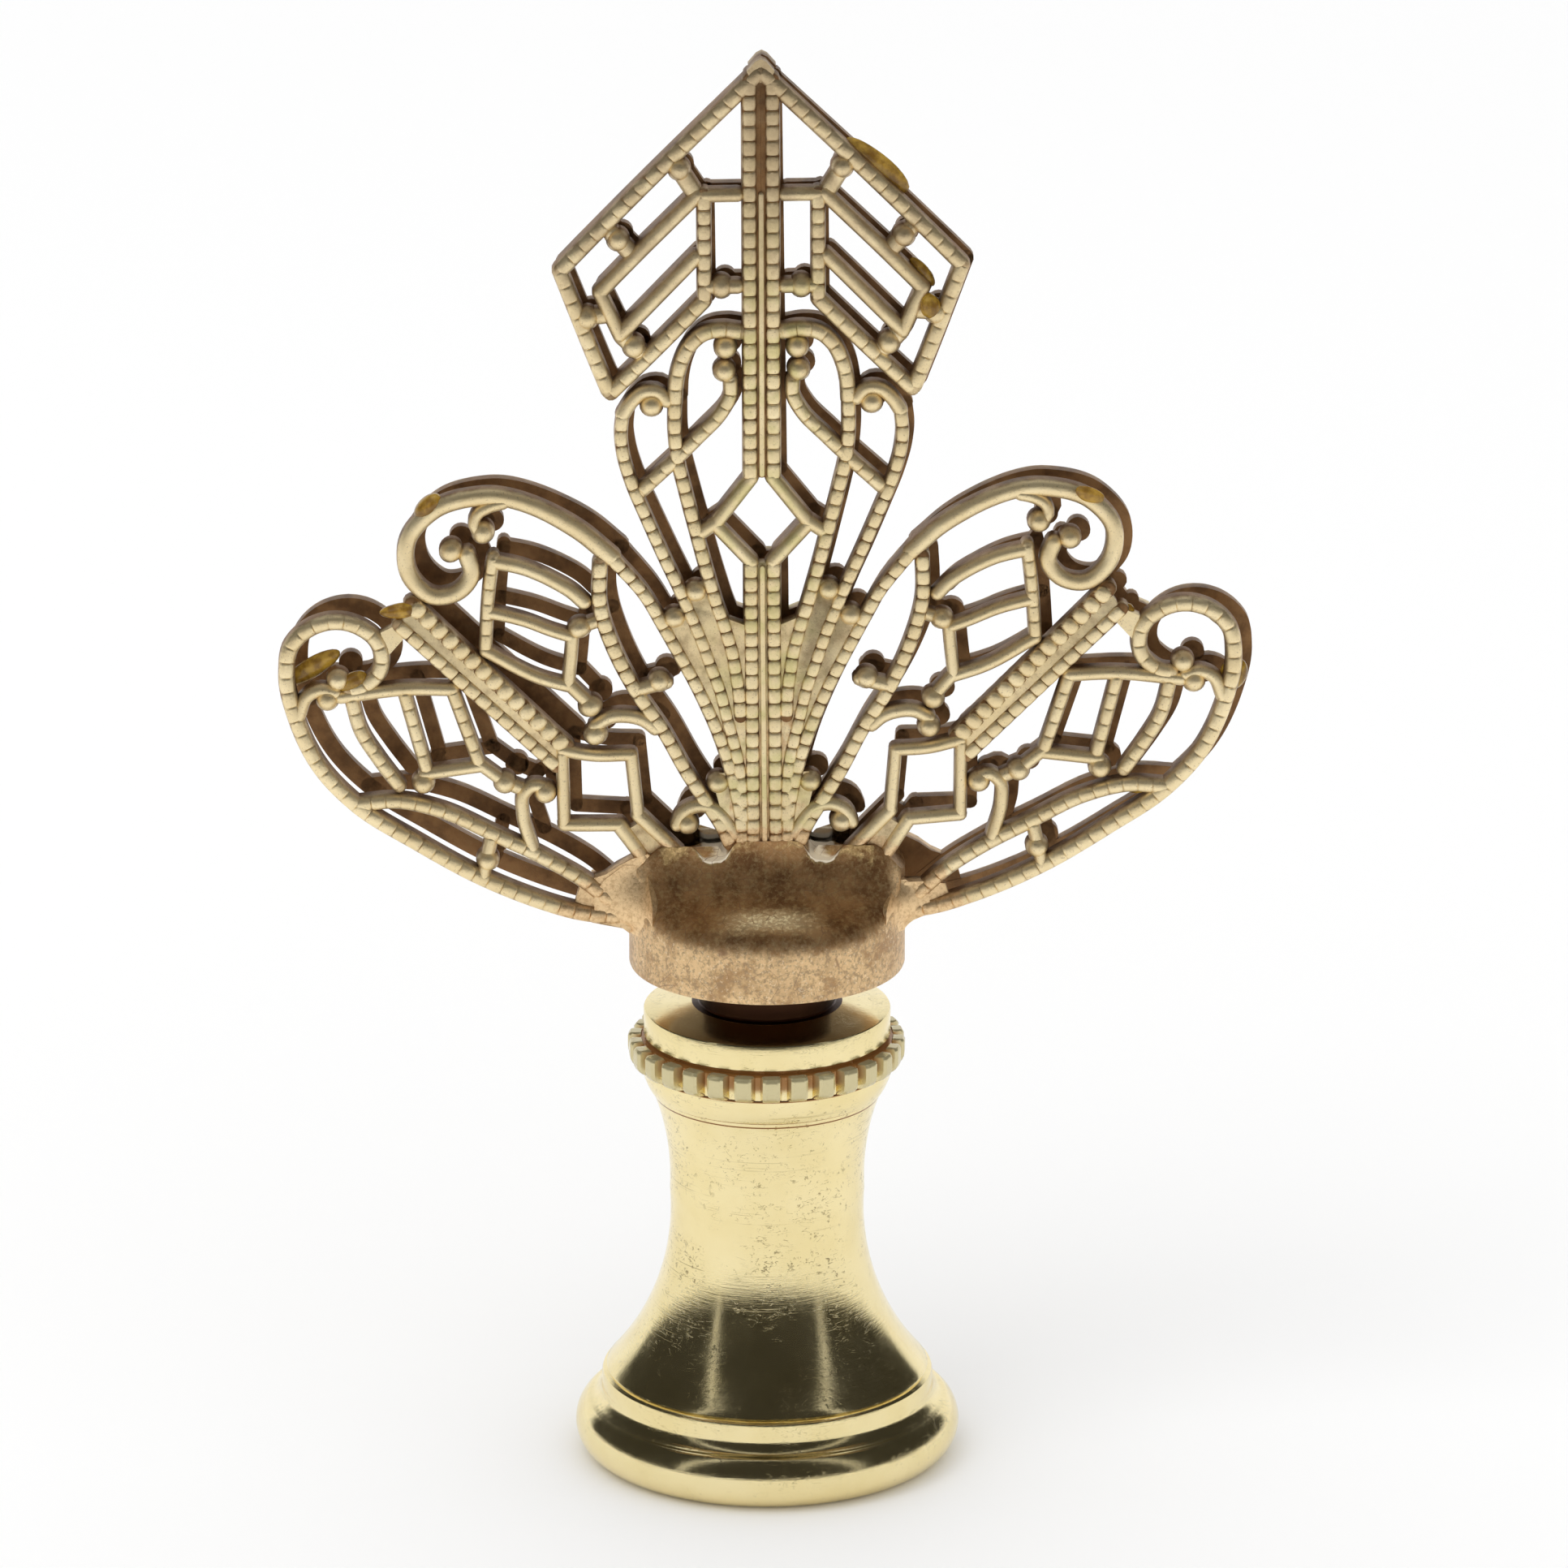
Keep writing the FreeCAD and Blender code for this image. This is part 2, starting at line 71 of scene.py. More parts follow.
# Filigree drawing: u across from the spine, v above the foot, right half only
# Ribs: (points, how the face is struck, width); two points make a straight bar
RIBS = [
    # Columns of the spine and the kite, and the kite's lower edge
    ([(0.5, 62.9), (0.5, 45.6)], "bead", 0.68),
    ([(0.49, 41.8), (0.49, 28.6)], "bead", 0.68),
    ([(8.65, 54.75), (6.6, 49.6)], "worn", 0.7),
    ([(2.45, 57.9), (2.45, 53.4)], "bead", 0.66),
    # Beaded ribs of the fan
    ([(3.75, 49.0), (3.75, 47.6), (3.65, 46.6), (3.3, 45.0), (2.8, 43.0), (2.39, 41.4), (2.15, 40.5),
      (1.93, 39.7), (1.7, 39.0), (1.52, 38.3), (1.34, 37.6), (1.2, 36.7), (1.07, 35.8), (1.0, 34.6)],
     "bead", 0.64),
    ([(6.0, 48.5), (6.08, 47.6), (6.0, 46.8), (5.65, 45.5), (5.05, 44.0), (4.2, 42.0), (3.65, 40.75),
      (3.16, 39.5), (2.71, 38.3), (2.31, 37.05), (1.88, 35.8), (1.57, 34.5), (1.27, 33.3), (1.11, 32.5),
      (1.0, 31.4), (0.95, 29.8)], "bead", 0.6),
    ([(6.45, 42.15), (5.05, 40.3), (4.25, 38.75), (3.55, 37.35), (2.95, 36.15), (2.43, 35.0), (1.95, 33.8),
      (1.57, 32.6), (1.29, 31.4), (1.13, 30.6), (1.02, 29.7), (0.98, 28.7)], "bead", 0.62),
    ([(6.95, 42.0), (6.95, 40.0), (6.45, 38.0), (5.6, 36.0), (4.35, 34.0), (3.3, 32.0), (2.45, 30.6),
      (1.8, 29.5), (1.5, 28.8)], "bead", 0.66),
    # Slanting band and worn bars of the petals
    ([(15.0, 40.2), (8.45, 33.55)], "scale", 0.8),
    ([(15.6, 39.3), (8.85, 32.7)], "bead", 0.66),
    ([(11.5, 42.2), (11.7, 40.4), (11.85, 38.1)], "worn", 0.6),
    ([(13.3, 36.2), (12.2, 32.9)], "worn", 0.62),
    ([(15.4, 36.2), (14.5, 32.7)], "worn", 0.62),
    ([(17.7, 36.0), (17.3, 34.5), (16.6, 33.3), (15.7, 32.0)], "worn", 0.66),
    # Other edges and cells of the kite, down to its foot
    ([(0.0, 63.25), (8.65, 54.75)], "worn", 0.72),
    ([(2.45, 53.4), (6.5, 49.5)], "worn", 0.7),
    ([(1.0, 57.85), (2.45, 57.85)], "plain", 0.62),
    ([(1.0, 53.95), (2.3, 53.95)], "plain", 0.62),
    ([(2.75, 57.85), (6.95, 53.8)], "plain", 0.68),
    ([(6.95, 53.8), (6.1, 52.0)], "plain", 0.64),
    ([(6.1, 52.0), (2.8, 55.2)], "plain", 0.66),
    ([(0.9, 52.05), (1.7, 52.15), (2.5, 52.0), (3.1, 51.5), (3.5, 50.7), (3.7, 49.8), (3.75, 49.0)],
     "worn", 0.7),
    ([(4.1, 49.1), (4.5, 49.5), (5.1, 49.5), (5.65, 49.05), (6.0, 48.5)], "plain", 0.66),
    ([(1.35, 50.0), (1.35, 49.3), (1.7, 48.6), (2.8, 47.4), (5.2, 45.1)], "worn", 0.66),
    ([(0.45, 45.6), (1.95, 43.65)], "plain", 0.66),
    ([(1.95, 43.65), (2.6, 43.2)], "plain", 0.66),
    ([(1.95, 43.45), (0.45, 41.8)], "plain", 0.66),
    # Scrolls and bars beside the fan and in the upper petal
    ([(4.2, 36.2), (5.4, 35.9)], "plain", 0.66),
    ([(7.6, 40.2), (8.1, 40.75), (9.0, 41.35), (10.0, 41.75), (11.5, 42.0)], "plain", 0.66),
    ([(8.1, 38.6), (9.0, 38.95), (10.0, 39.35), (11.7, 39.75)], "plain", 0.6),
    ([(8.1, 38.6), (8.15, 37.9), (8.3, 36.35)], "plain", 0.58),
    ([(8.3, 36.3), (9.5, 36.7), (11.85, 38.0)], "plain", 0.6),
    ([(7.5, 35.5), (8.2, 36.3)], "plain", 0.62),
    ([(6.45, 42.15), (7.8, 43.35), (9.8, 44.4), (12.2, 44.75), (14.2, 44.2), (15.25, 42.95), (15.05, 41.4),
      (14.0, 40.5), (12.9, 40.75), (12.4, 41.5), (12.65, 42.3)], "plain", 0.78),
    ([(11.2, 44.5), (11.85, 44.3), (12.3, 44.0), (12.4, 43.6), (12.15, 43.25)], "plain", 0.58),
    ([(4.7, 34.1), (5.2, 34.5), (5.9, 34.72), (6.6, 34.72), (7.2, 34.4)], "plain", 0.66),
    ([(1.3, 29.2), (1.75, 29.95), (2.2, 30.4), (2.9, 30.55), (3.55, 30.25), (3.8, 29.7)], "plain", 0.66),
    ([(5.75, 32.95), (5.5, 30.2)], "plain", 0.58),
    ([(5.75, 32.95), (7.2, 33.05), (8.6, 33.4)], "plain", 0.6),
    ([(8.6, 33.2), (8.55, 30.0)], "plain", 0.58),
    ([(6.3, 29.8), (8.55, 30.0)], "plain", 0.62),
    ([(5.5, 30.2), (3.75, 28.4)], "plain", 0.66),
    ([(6.3, 29.8), (5.2, 28.1)], "plain", 0.68),
    # Outer scroll, lower petal and its root
    ([(17.75, 36.4), (17.3, 36.48), (16.85, 36.77), (16.5, 37.15), (16.36, 37.65), (16.4, 38.2),
      (16.65, 38.7), (17.1, 39.1), (17.7, 39.4), (18.5, 39.5), (19.5, 39.2), (20.3, 38.4), (20.5, 37.2),
      (20.1, 35.1), (19.1, 32.9), (17.6, 31.2), (15.0, 29.4), (12.0, 27.6), (9.0, 26.3), (7.6, 25.85),
      (6.2, 25.6)], "worn", 0.74),
    ([(13.3, 36.3), (15.2, 36.38), (18.2, 36.1)], "plain", 0.62),
    ([(18.4, 36.3), (19.0, 36.45), (19.6, 36.2), (20.0, 35.3)], "plain", 0.62),
    ([(12.1, 32.8), (14.6, 32.5)], "plain", 0.6),
    ([(11.2, 32.1), (12.2, 32.9)], "plain", 0.6),
    ([(9.3, 31.65), (9.8, 31.85), (10.3, 31.45), (10.35, 30.6), (9.95, 29.0)], "plain", 0.62),
    ([(17.6, 31.2), (15.8, 31.3), (14.0, 30.85), (11.5, 29.6), (9.5, 28.55), (7.9, 27.5), (6.6, 26.3)],
     "worn", 0.7),
    ([(11.75, 29.4), (12.1, 27.8)], "plain", 0.62),
    # Low links that carry single balls
    ([(3.7, 59.3), (2.85, 57.95)], "web", 0.8),
    ([(6.4, 56.25), (5.5, 55.3)], "web", 0.8),
    ([(7.8, 52.75), (6.55, 52.85)], "web", 0.74),
    ([(6.0, 51.95), (5.0, 51.0)], "web", 0.8),
    ([(7.8, 39.0), (6.85, 39.3)], "web", 0.66),
    ([(11.1, 32.0), (10.2, 31.6)], "web", 0.66),
]
BALLS = [
    (3.5, 59.0), (6.15, 56.0), (7.5, 52.75), (5.5, 51.5), (1.55, 51.4), (1.6, 50.4), (4.75, 48.9),
    (1.72, 53.95), (2.88, 40.5), (3.82, 39.25), (4.5, 36.25), (7.8, 39.0), (13.35, 42.5), (12.0, 43.25),
    (7.2, 34.0), (7.4, 35.3), (3.35, 29.75), (2.0, 31.6), (18.27, 36.9), (18.75, 36.0),
    (14.65, 32.1), (11.1, 32.0), (9.35, 31.5), (11.9, 28.5),
]
# Sheet between ribs: (outline, height, recess)
# The recess browns these lower sheets: partly stain, partly painted shade under the ribs.
WEBS = [
    ([(0.0, 62.9), (0.5, 62.9), (0.5, 45.7), (0.0, 45.6)], 0.66, 0.9),
    ([(0.0, 41.8), (0.5, 41.8), (0.75, 38.9), (1.45, 39.2), (2.1, 40.7), (2.6, 40.95), (3.1, 40.95),
      (3.33, 40.4), (3.2, 39.75), (3.6, 39.7), (4.1, 39.55), (4.28, 39.1), (4.1, 38.5), (3.3, 36.7),
      (2.5, 35.0), (1.8, 33.2), (1.4, 32.0), (1.95, 32.0), (2.2, 31.5), (1.9, 30.3), (1.6, 29.2),
      (1.4, 28.5), (0.0, 28.5)], 0.7, 0.45),
    ([(15.0, 40.2), (15.6, 39.3), (8.85, 32.7), (8.45, 33.55)], 0.72, 0.4),
    ([(0.0, 63.84), (0.24, 63.72), (0.6, 63.3), (0.4, 62.8), (-0.4, 62.8), (-0.6, 63.3), (-0.24, 63.72)],
     0.78, 0.35),
    ([(16.4, 39.0), (15.3, 39.5), (15.2, 38.9), (16.1, 37.9)], 0.7, 0.15),
    ([(5.9, 29.6), (5.45, 29.9), (4.3, 28.8), (3.7, 28.2), (5.1, 27.9), (5.5, 28.6)], 0.66, 0.55),
]
# Where the petals run into the half cup; the left one spreads further over it
ROOTS = {
    -1: [(4.6, 28.0), (5.1, 28.5), (5.8, 28.3), (6.4, 28.0), (6.9, 27.65), (7.9, 27.3), (8.1, 26.6),
         (8.3, 25.7), (7.4, 25.4), (6.9, 25.3), (6.2, 25.12), (5.9, 24.85), (5.6, 26.0), (5.5, 27.0)],
    1: [(6.1, 27.0), (6.9, 27.0), (7.9, 26.8), (8.2, 25.85), (7.3, 25.5), (6.5, 25.25), (5.9, 24.9),
        (5.7, 26.0)],
}
ROOT_HEIGHT = 0.86
ROOT_THINNING = 0.42  # taken off the root's height at its outer end
# Middle and half sizes of the zone round the roots where the sheet is coppery
ROOT_V = 25.6
ROOT_HALF_U = 8.9
ROOT_HALF_V = 3.9
# Outer reach of the fillet between petal and cup wall: (height, reach)
GUSSETS = {
    -1: [(24.72, 5.95), (24.9, 6.05), (25.15, 6.4), (25.4, 7.2), (25.8, 7.6), (26.5, 7.6), (27.2, 7.2),
         (27.9, 6.3)],
    1: [(24.78, 5.95), (24.95, 6.03), (25.2, 6.3), (25.5, 6.9), (25.9, 7.1), (26.4, 7.0), (26.8, 6.5),
        (27.1, 6.0)],
}
# Fillets between the spine's two bead columns: (low v, high v), and their section as offset
# from the spine, height, recess
FILLETS = [(28.8, 41.6), (45.8, 57.9)]
FILLET_SECTION = [(0.12, 0.0, 1.0), (0.12, 0.83, 0.6), (0.09, 0.875, 0.05), (0.0, 0.89, 0.0)]
FILLET_STEPS = 40

# Section of a rib from its foot to its middle: share of the half width, height, recess
# The recess column darkens the colour down the flanks and on the walls as painted shade.
SECTION = [(1.0, 0.0, 1.0), (1.0, 0.5, 0.85), (0.94, 0.62, 0.62), (0.82, 0.73, 0.26), (0.62, 0.82, 0.03),
           (0.33, 0.878, 0.0), (0.0, 0.9, 0.0)]
# How a row of beads is struck: places of the sections along one bead as shares of the pitch, share
# of the bead's own form in the face, depth of the groove round it, darkness of that groove
STRIKES = {
    "bead": ((0, 0.055, 0.14, 0.36, 0.64, 0.86, 0.945), 0.75, 0.075, 0.95),
    "scale": ((0, 0.06, 0.16, 0.33, 0.5, 0.67, 0.84, 0.94), 1.0, 0.1, 0.95),
    "worn": ((0, 0.05, 0.15, 0.5, 0.85, 0.95), 0.3, 0.05, 0.6),
}
BEAD_PITCH = 0.67
STRUCK_SHARE = 0.93  # of the half width
BEAD_SHARE = 0.88
BEAD_GAP = 0.01
SCALE_R = 0.385
SCALE_LENGTH = 0.39
CURVE_STEP = 0.2
BAR_STEP = 0.5
WEB_LOWERED = 0.84
WEB_RECESS = 0.3
UNEVEN = 0.003
PLATE_FOOT = 0.02
PLATE_DRAFT = 0.05
PLATE_INSET = 0.985

# Ball: (radius, height, recess) up its side
BALL_PROFILE = [(0.52, 0.0, 1.0), (0.52, 0.5, 0.9), (0.465, 0.63, 0.45), (0.43, 0.75, 0.15),
                (0.38, 0.88, 0.0), (0.29, 0.99, 0.0), (0.17, 1.06, 0.0), (0.05, 1.09, 0.0)]
BALL_STEPS = 20


# Objects and meshes
def add_object(name, data):
    made = bpy.data.objects.new(name, data)
    bpy.context.scene.collection.objects.link(made)
    return made


class Shell:
    """Vertices and faces, with two values for the finish: recess is 0 on a struck face and 1 in grooves,
    walls and backs, where the materials paint the colour darker, partly as patina and partly as painted
    shade; tone tells apart zones of one piece."""

    def __init__(self):
        self.points = []
        self.recess = []
        self.tone = []
        self.faces = []
        self.kinds = []
        self.total = 0

    def add_rings(self, rings, recess, tone=0.0, kind=0, caps=True):
        """Rings of equal length, each a closed loop, joined one to the next. Recess and tone are
        one value, one for each ring or one for each point."""
        rings = np.array(rings, float)
        count, size = rings.shape[:2]
        faces = []
        for i in range(count - 1):
            for j in range(size):
                k = (j + 1) % size
                faces.append([i * size + j, i * size + k, (i + 1) * size + k, (i + 1) * size + j])
        if caps:
            faces.append(list(range(size))[::-1])
            faces.append([(count - 1) * size + j for j in range(size)])
        self.points.append(rings.reshape(-1, 3))
        self.recess.append(np.broadcast_to(recess, (count, size)).ravel())
        self.tone.append(np.broadcast_to(tone, (count, size)).ravel())
        self.faces += [[corner + self.total for corner in face] for face in faces]
        self.kinds += [kind] * len(faces)
        self.total += count * size

    def build(self, name, materials, sharp_deg=48):
        points = np.concatenate(self.points) * MM
        mesh = bpy.data.meshes.new(name)
        mesh.from_pydata(points.tolist(), [], self.faces)
        for key, parts in (("recess", self.recess), ("tone", self.tone)):
            layer = mesh.attributes.new(key, "FLOAT", "POINT")
            layer.data.foreach_set("value", np.concatenate(parts))
        for material in materials:
            mesh.materials.append(material)
        mesh.polygons.foreach_set("material_index", self.kinds)
        weld(mesh)
        mesh.shade_smooth()
        mesh.set_sharp_from_angle(angle=math.radians(sharp_deg))
        return add_object(name, mesh)


def weld(mesh):
    """Join points that lie in one place and turn the faces outwards."""
    edit = bmesh.new()
    edit.from_mesh(mesh)
    bmesh.ops.remove_doubles(edit, verts=edit.verts, dist=0.0000015)
    bmesh.ops.recalc_face_normals(edit, faces=edit.faces)
    edit.to_mesh(mesh)
    edit.free()


def ramp(value, low, high):
    """Smooth step from 0 at low to 1 at high, whichever of the two is larger."""
    t = np.clip((value - low) / (high - low), 0, 1)
    return t * t * (3 - 2 * t)


def mirrored(values, sign=-1):
    """Values from one side to the middle, carried on to the other side."""
    values = list(values)
    return np.array(values + [sign * v for v in values[-2::-1]])


def lengths_along(points):
    return np.r_[0, np.cumsum(np.linalg.norm(np.diff(points, axis=0), axis=1))]


def smooth_path(points):
    """A dense smooth curve through the given points, and its length up to each one."""
    knots = np.array(points, float)
    if len(knots) > 2:
        chord = lengths_along(knots)
        slopes = np.gradient(knots, chord, axis=0)
        dense = []
        for i in range(len(knots) - 1):
            width = chord[i + 1] - chord[i]
            t = np.linspace(0, 1, 24, endpoint=i == len(knots) - 2)[:, None]
            start = (2 * t**3 - 3 * t**2 + 1) * knots[i] + (t**3 - 2 * t**2 + t) * width * slopes[i]
            dense.append(start + (3 * t**2 - 2 * t**3) * knots[i + 1] + (t**3 - t**2) * width * slopes[i + 1])
        knots = np.concatenate(dense)
    return knots, lengths_along(knots)


def sweep(shell, path, offsets, heights, recess, turn_steps):
    """Draw a rib's section along a flat path and turn it round at both ends."""
    tangent = np.gradient(path, axis=0)
    tangent /= np.linalg.norm(tangent, axis=1)[:, None]
    normal = np.stack([-tangent[:, 1], tangent[:, 0]], 1)
    side = np.sign(offsets)
    reach = np.abs(offsets)
    angles = np.linspace(0, math.pi / 2, turn_steps + 1)[1:]
    rings, values = [], []

    def turned(i, outward, angle):
        flat = path[i] + reach[:, None] * (math.sin(angle) * outward
                                           + math.cos(angle) * side[:, None] * normal[i])
        return np.column_stack([flat, heights[i]])

    for angle in angles[::-1]:
        rings.append(turned(0, -tangent[0], angle))
        values.append(recess[0])
    for i in range(len(path)):
        flat = path[i] + offsets[:, None] * normal[i]
        rings.append(np.column_stack([flat, heights[i]]))
        values.append(recess[i])
    for angle in angles:
        rings.append(turned(-1, tangent[-1], angle))
        values.append(recess[-1])
    shell.add_rings(rings, values, caps=False)


# Filigree lattice
def bead_form(kind, across, lengthwise, half, pitch):
    """Height of a bead's face and how deep its groove is, from 0 to 1, beside its middle."""
    if kind == "scale":
        q = np.hypot(across, lengthwise * SCALE_LENGTH / (pitch / 2)) / SCALE_R
        return 0.91 - 0.07 * q * q, ramp(q, 0.86, 1.12)
    q = ((across / (BEAD_SHARE * half))**4 + (lengthwise / (pitch / 2 - BEAD_GAP))**4)**0.25
    return 0.9 - 0.035 * q * q, ramp(q, 0.9, 1.04)


def strike(kind, half, offsets, count, pitch, heights, recess):
    """Heights and recess of a rib whose face is struck with a row of beads."""
    places, blend, depth, dark = STRIKES[kind]
    local = (np.r_[np.tile(places, count), 0] - 0.5) * pitch
    across, lengthwise = np.meshgrid(np.abs(offsets), np.abs(local))
    face, sunk = bead_form(kind, across, lengthwise, half, pitch)
    wear = np.repeat(rng.uniform(0.75, 1.1, count + 1), len(places))[:len(local), None]
    relief = (heights * (1 - blend) + face * blend) - depth * sunk * wear
    struck = across < STRUCK_SHARE * half
    heights = np.where(struck, relief, heights)
    recess = np.where(struck, np.maximum(recess, sunk * wear * dark), recess)
    return heights, recess


def rib(shell, points, kind, width, mirror):
    """Crowned rib; its face is plain, lower as a web, or struck with beads, scales or worn beads."""
    half = width / 2
    share, height, groove = (np.array(column) for column in zip(*SECTION))
    offsets = mirrored(share * half)
    knots, length = smooth_path(points)
    whole = length[-1]
    if kind in STRIKES:
        count = max(1, round(whole / BEAD_PITCH))
        pitch = whole / count
        places = np.arange(count)[:, None] + np.array(STRIKES[kind][0])
        stations = np.r_[(places * pitch).ravel(), whole]
    else:
        step = CURVE_STEP if len(points) > 2 else BAR_STEP
        stations = np.linspace(0, whole, max(2, int(whole / step)) + 1)
    path = np.stack([np.interp(stations, length, knots[:, k]) for k in (0, 1)], 1)
    path[:, 0] *= mirror
    heights = np.tile(mirrored(height, 1), (len(path), 1))
    recess = np.tile(mirrored(groove, 1), (len(path), 1))
    if kind == "web":
        heights = heights * WEB_LOWERED
        recess = np.maximum(recess, WEB_RECESS)
    if kind in STRIKES:
        heights, recess = strike(kind, half, offsets, count, pitch, heights, recess)
    heights[:, 1:-1] += rng.normal(0, UNEVEN, (len(path), 1))
    sweep(shell, path, offsets, heights, recess, turn_steps=3)


def ball(shell, u, v, mirror):
    """Struck ball: a dome on a short drum."""
    around = np.linspace(0, 2 * math.pi, BALL_STEPS, endpoint=False)
    rings = [np.column_stack([mirror * u + radius * np.cos(around), v + radius * np.sin(around),
                              np.full(BALL_STEPS, height)]) for radius, height, recess in BALL_PROFILE]
    shell.add_rings(rings, [[recess] for radius, height, recess in BALL_PROFILE])


def plate(shell, outline, height, recess, mirror):
    """Sheet with a small draft at its edge; its height may differ from corner to corner."""
    flat = np.array(outline, float) * (mirror, 1)
    count = len(flat)
    height = np.zeros(count) + height
    middle = flat.mean(axis=0)
    inner = middle + (flat - middle) * PLATE_INSET
    skins = ((flat, np.full(count, PLATE_FOOT)), (flat, height - PLATE_DRAFT), (inner, height))
    rings = [np.column_stack([edge, level]) for edge, level in skins]
    shell.add_rings(rings, [[1.0], [recess], [recess]])


def fillet(shell, low, high):
    """Low crown that fills the gap between the spine's two bead columns."""
    offset, height, groove = zip(*FILLET_SECTION)
    path = np.column_stack([np.zeros(FILLET_STEPS), np.linspace(low, high, FILLET_STEPS)])
    heights = np.tile(mirrored(height, 1), (FILLET_STEPS, 1))
    recess = np.tile(mirrored(groove, 1), (FILLET_STEPS, 1))
    sweep(shell, path, mirrored(offset), heights, recess, turn_steps=2)


def flat_filigree():
    """The whole lattice in drawing coordinates (u, v above the foot, height)."""
    shell = Shell()
    for mirror in (1, -1):
        for points, kind, width in RIBS:
            rib(shell, points, kind, width, mirror)
        for u, v in BALLS:
            ball(shell, u, v, mirror)
        for outline, height, recess in WEBS:
            plate(shell, outline, height, recess, mirror)
        reach = np.array(ROOTS[mirror])[:, 0]
        plate(shell, ROOTS[mirror], ROOT_HEIGHT - ROOT_THINNING * ramp(reach, 6.4, 8.1), 0.0, mirror)
    for low, high in FILLETS:
        fillet(shell, low, high)
    shell.tone = [root_tone(p) for p in shell.points]
    return shell


def root_tone(points):
    """1 where the lattice runs into the half cup and its face is rough, coppery sheet."""
    away = np.hypot(points[:, 0] / ROOT_HALF_U, (points[:, 1] - ROOT_V) / ROOT_HALF_V)
    return 1 - ramp(away, 0.9, 1.12)


def upright(points):
    """From the drawing to the front leaf's place, leaning back on the other leaf.
    The sheet is a little out of true: the kite leans to the right and stands high, the middle
    is pressed down and the left petals hang lower than the right ones."""
    u, v = points[:, 0], points[:, 1]
    left = ramp(-u, 5, 9) * (1 - ramp(v, 41, 45))
    middle = ramp(v, 36, 42) * (1 - ramp(v, 50, 56)) * (1 - ramp(np.abs(u), 8.5, 12))
    x = u + KITE_LEAN * np.clip(v - 40, 0, None) - LEFT_SHIFT * left + FRONT_SHIFT
    y = -LEAF_BACK_Y - points[:, 2]
    z = v - DRAWN_CREST - PETAL_DROOP * np.clip(np.abs(u) - 6, 0, None)
    z = z + KITE_RISE * ramp(v, 53, 60) - MIDDLE_SINK * middle - LEFT_SINK * left
    away = y + LEAF_BACK_Y
    leaned_y = away * math.cos(LEAF_LEAN) + z * math.sin(LEAF_LEAN) - LEAF_BACK_Y
    leaned_z = -away * math.sin(LEAF_LEAN) + z * math.cos(LEAF_LEAN) + CREST
    return np.column_stack([x, leaned_y, leaned_z])


def tilted(points):
    """Turned by the pair's tilt about the middle of the crest."""
    x = points[:, 0]
    z = points[:, 2] - CREST
    return np.column_stack([x * math.cos(LEAF_TILT) - z * math.sin(LEAF_TILT), points[:, 1],
                            x * math.sin(LEAF_TILT) + z * math.cos(LEAF_TILT) + CREST])


# Half cup
CUP_R = 6.05
CUP_Z = 22.85
CUP_ROLL = 1.15
CUP_SHEET = 0.6
CUP_STEPS = 157
CUP_EDGE = 0.13  # height of the rounded lower edge
COVE_R = 2.85
FACE_Y = 1.75
NOTCH_R = 2.45  # the half floor's notch, held in the slot of the spool's neck
# Upper edge of the dish, and the two openings in it
ARCH_X = [0, 1.0, 3.4, 4.7, 5.2, 6.0, 6.5]
ARCH_Z = [29.0, 28.95, 28.75, 28.7, 28.3, 27.4, 26.8]
GILT_Z = 26.3  # gilt is left on the dish's edge above this height
OPENING_X = 2.35
OPENING_HALF = 0.74
OPENING_DEPTH = 0.75
LIP_BACK = 1.15
LIP_UP = 0.42
LIP_SHEET = 0.2
LIP_HIGHLIGHT_TONE = 1.6  # added to the dish's tone of 1 where a curled lip is painted pale as a highlight
INSIDE_TONE = 3.0
GUSSET_Y = -1.72


def cove_height(y, sheet):
    """Top of the dish: flat in front, sweeping up to the leaf's face."""
    radius = COVE_R + sheet
    inside = np.clip((y + FACE_Y + COVE_R) / radius, 0, 1)
    return CREST - radius * np.sqrt(1 - inside**2)


def dip(x):
    """How much lower the dish's upper edge is in the two small openings beside the fan."""
    return OPENING_DEPTH * math.exp(-((abs(x) - OPENING_X) / OPENING_HALF)**4)


def curl(x):
    """1 in the openings, where the edge is curled back and painted pale as a highlight, and 0 beside them."""
    return min(1.0, dip(x) * 1.5)


def arch_height(x):
    """Upper edge of the dish."""
    return np.interp(abs(x), ARCH_X, ARCH_Z) - dip(x)


def gilt_tone(x, z, edge):
    """Tone that is added near the upper edge, wider at its two corners, where gilt is left; in the openings
    it rises high enough for the lip's pale painted highlight.
    """
    curled_lip = curl(x)
    wide = ramp(abs(x), 3.0, 5.0)
    low = edge - 0.5 + 0.25 * curled_lip - 0.9 * wide
    high = edge - 0.1 + 0.06 * curled_lip - 0.6 * wide
    return (1 + 0.6 * curled_lip) * ramp(z, low, high)


def dish_point(sin, cos, radius, sheet, drop, tone, edge=None):
    """Point of the dish's skin (x, y, z, recess, tone), sheet below the top and drop lower still."""
    x, y = radius * sin, -radius * cos
    edge = arch_height(x) if edge is None else edge
    z = min(cove_height(y, sheet) - drop, edge - 0.3 * sheet)
    if tone < 2:
        tone *= 1 - 0.8 * ramp(abs(x), 4.8, 5.9)
    if sheet == 0 and drop == 0 and z > GILT_Z:
        tone += gilt_tone(x, z, edge)
    return x, y, z, 0.0, tone


def lip(x, y, z):
    """Upper and lower skin of the edge that starts at this point of the dish."""
    curled_lip = curl(x)
    tone = 1 + LIP_HIGHLIGHT_TONE * curled_lip
    bend = [(LIP_BACK * curled_lip * t, LIP_UP * curled_lip * t * t) for t in (0.15, 0.3, 0.5, 0.7, 0.87, 1.0)]
    upper = [(x, y + back, z + up, 0.0, tone) for back, up in bend]
    lower = [(x, y + back, z + up - LIP_SHEET * curled_lip, 0.0, tone) for back, up in bend[::-1]]
    return upper + lower


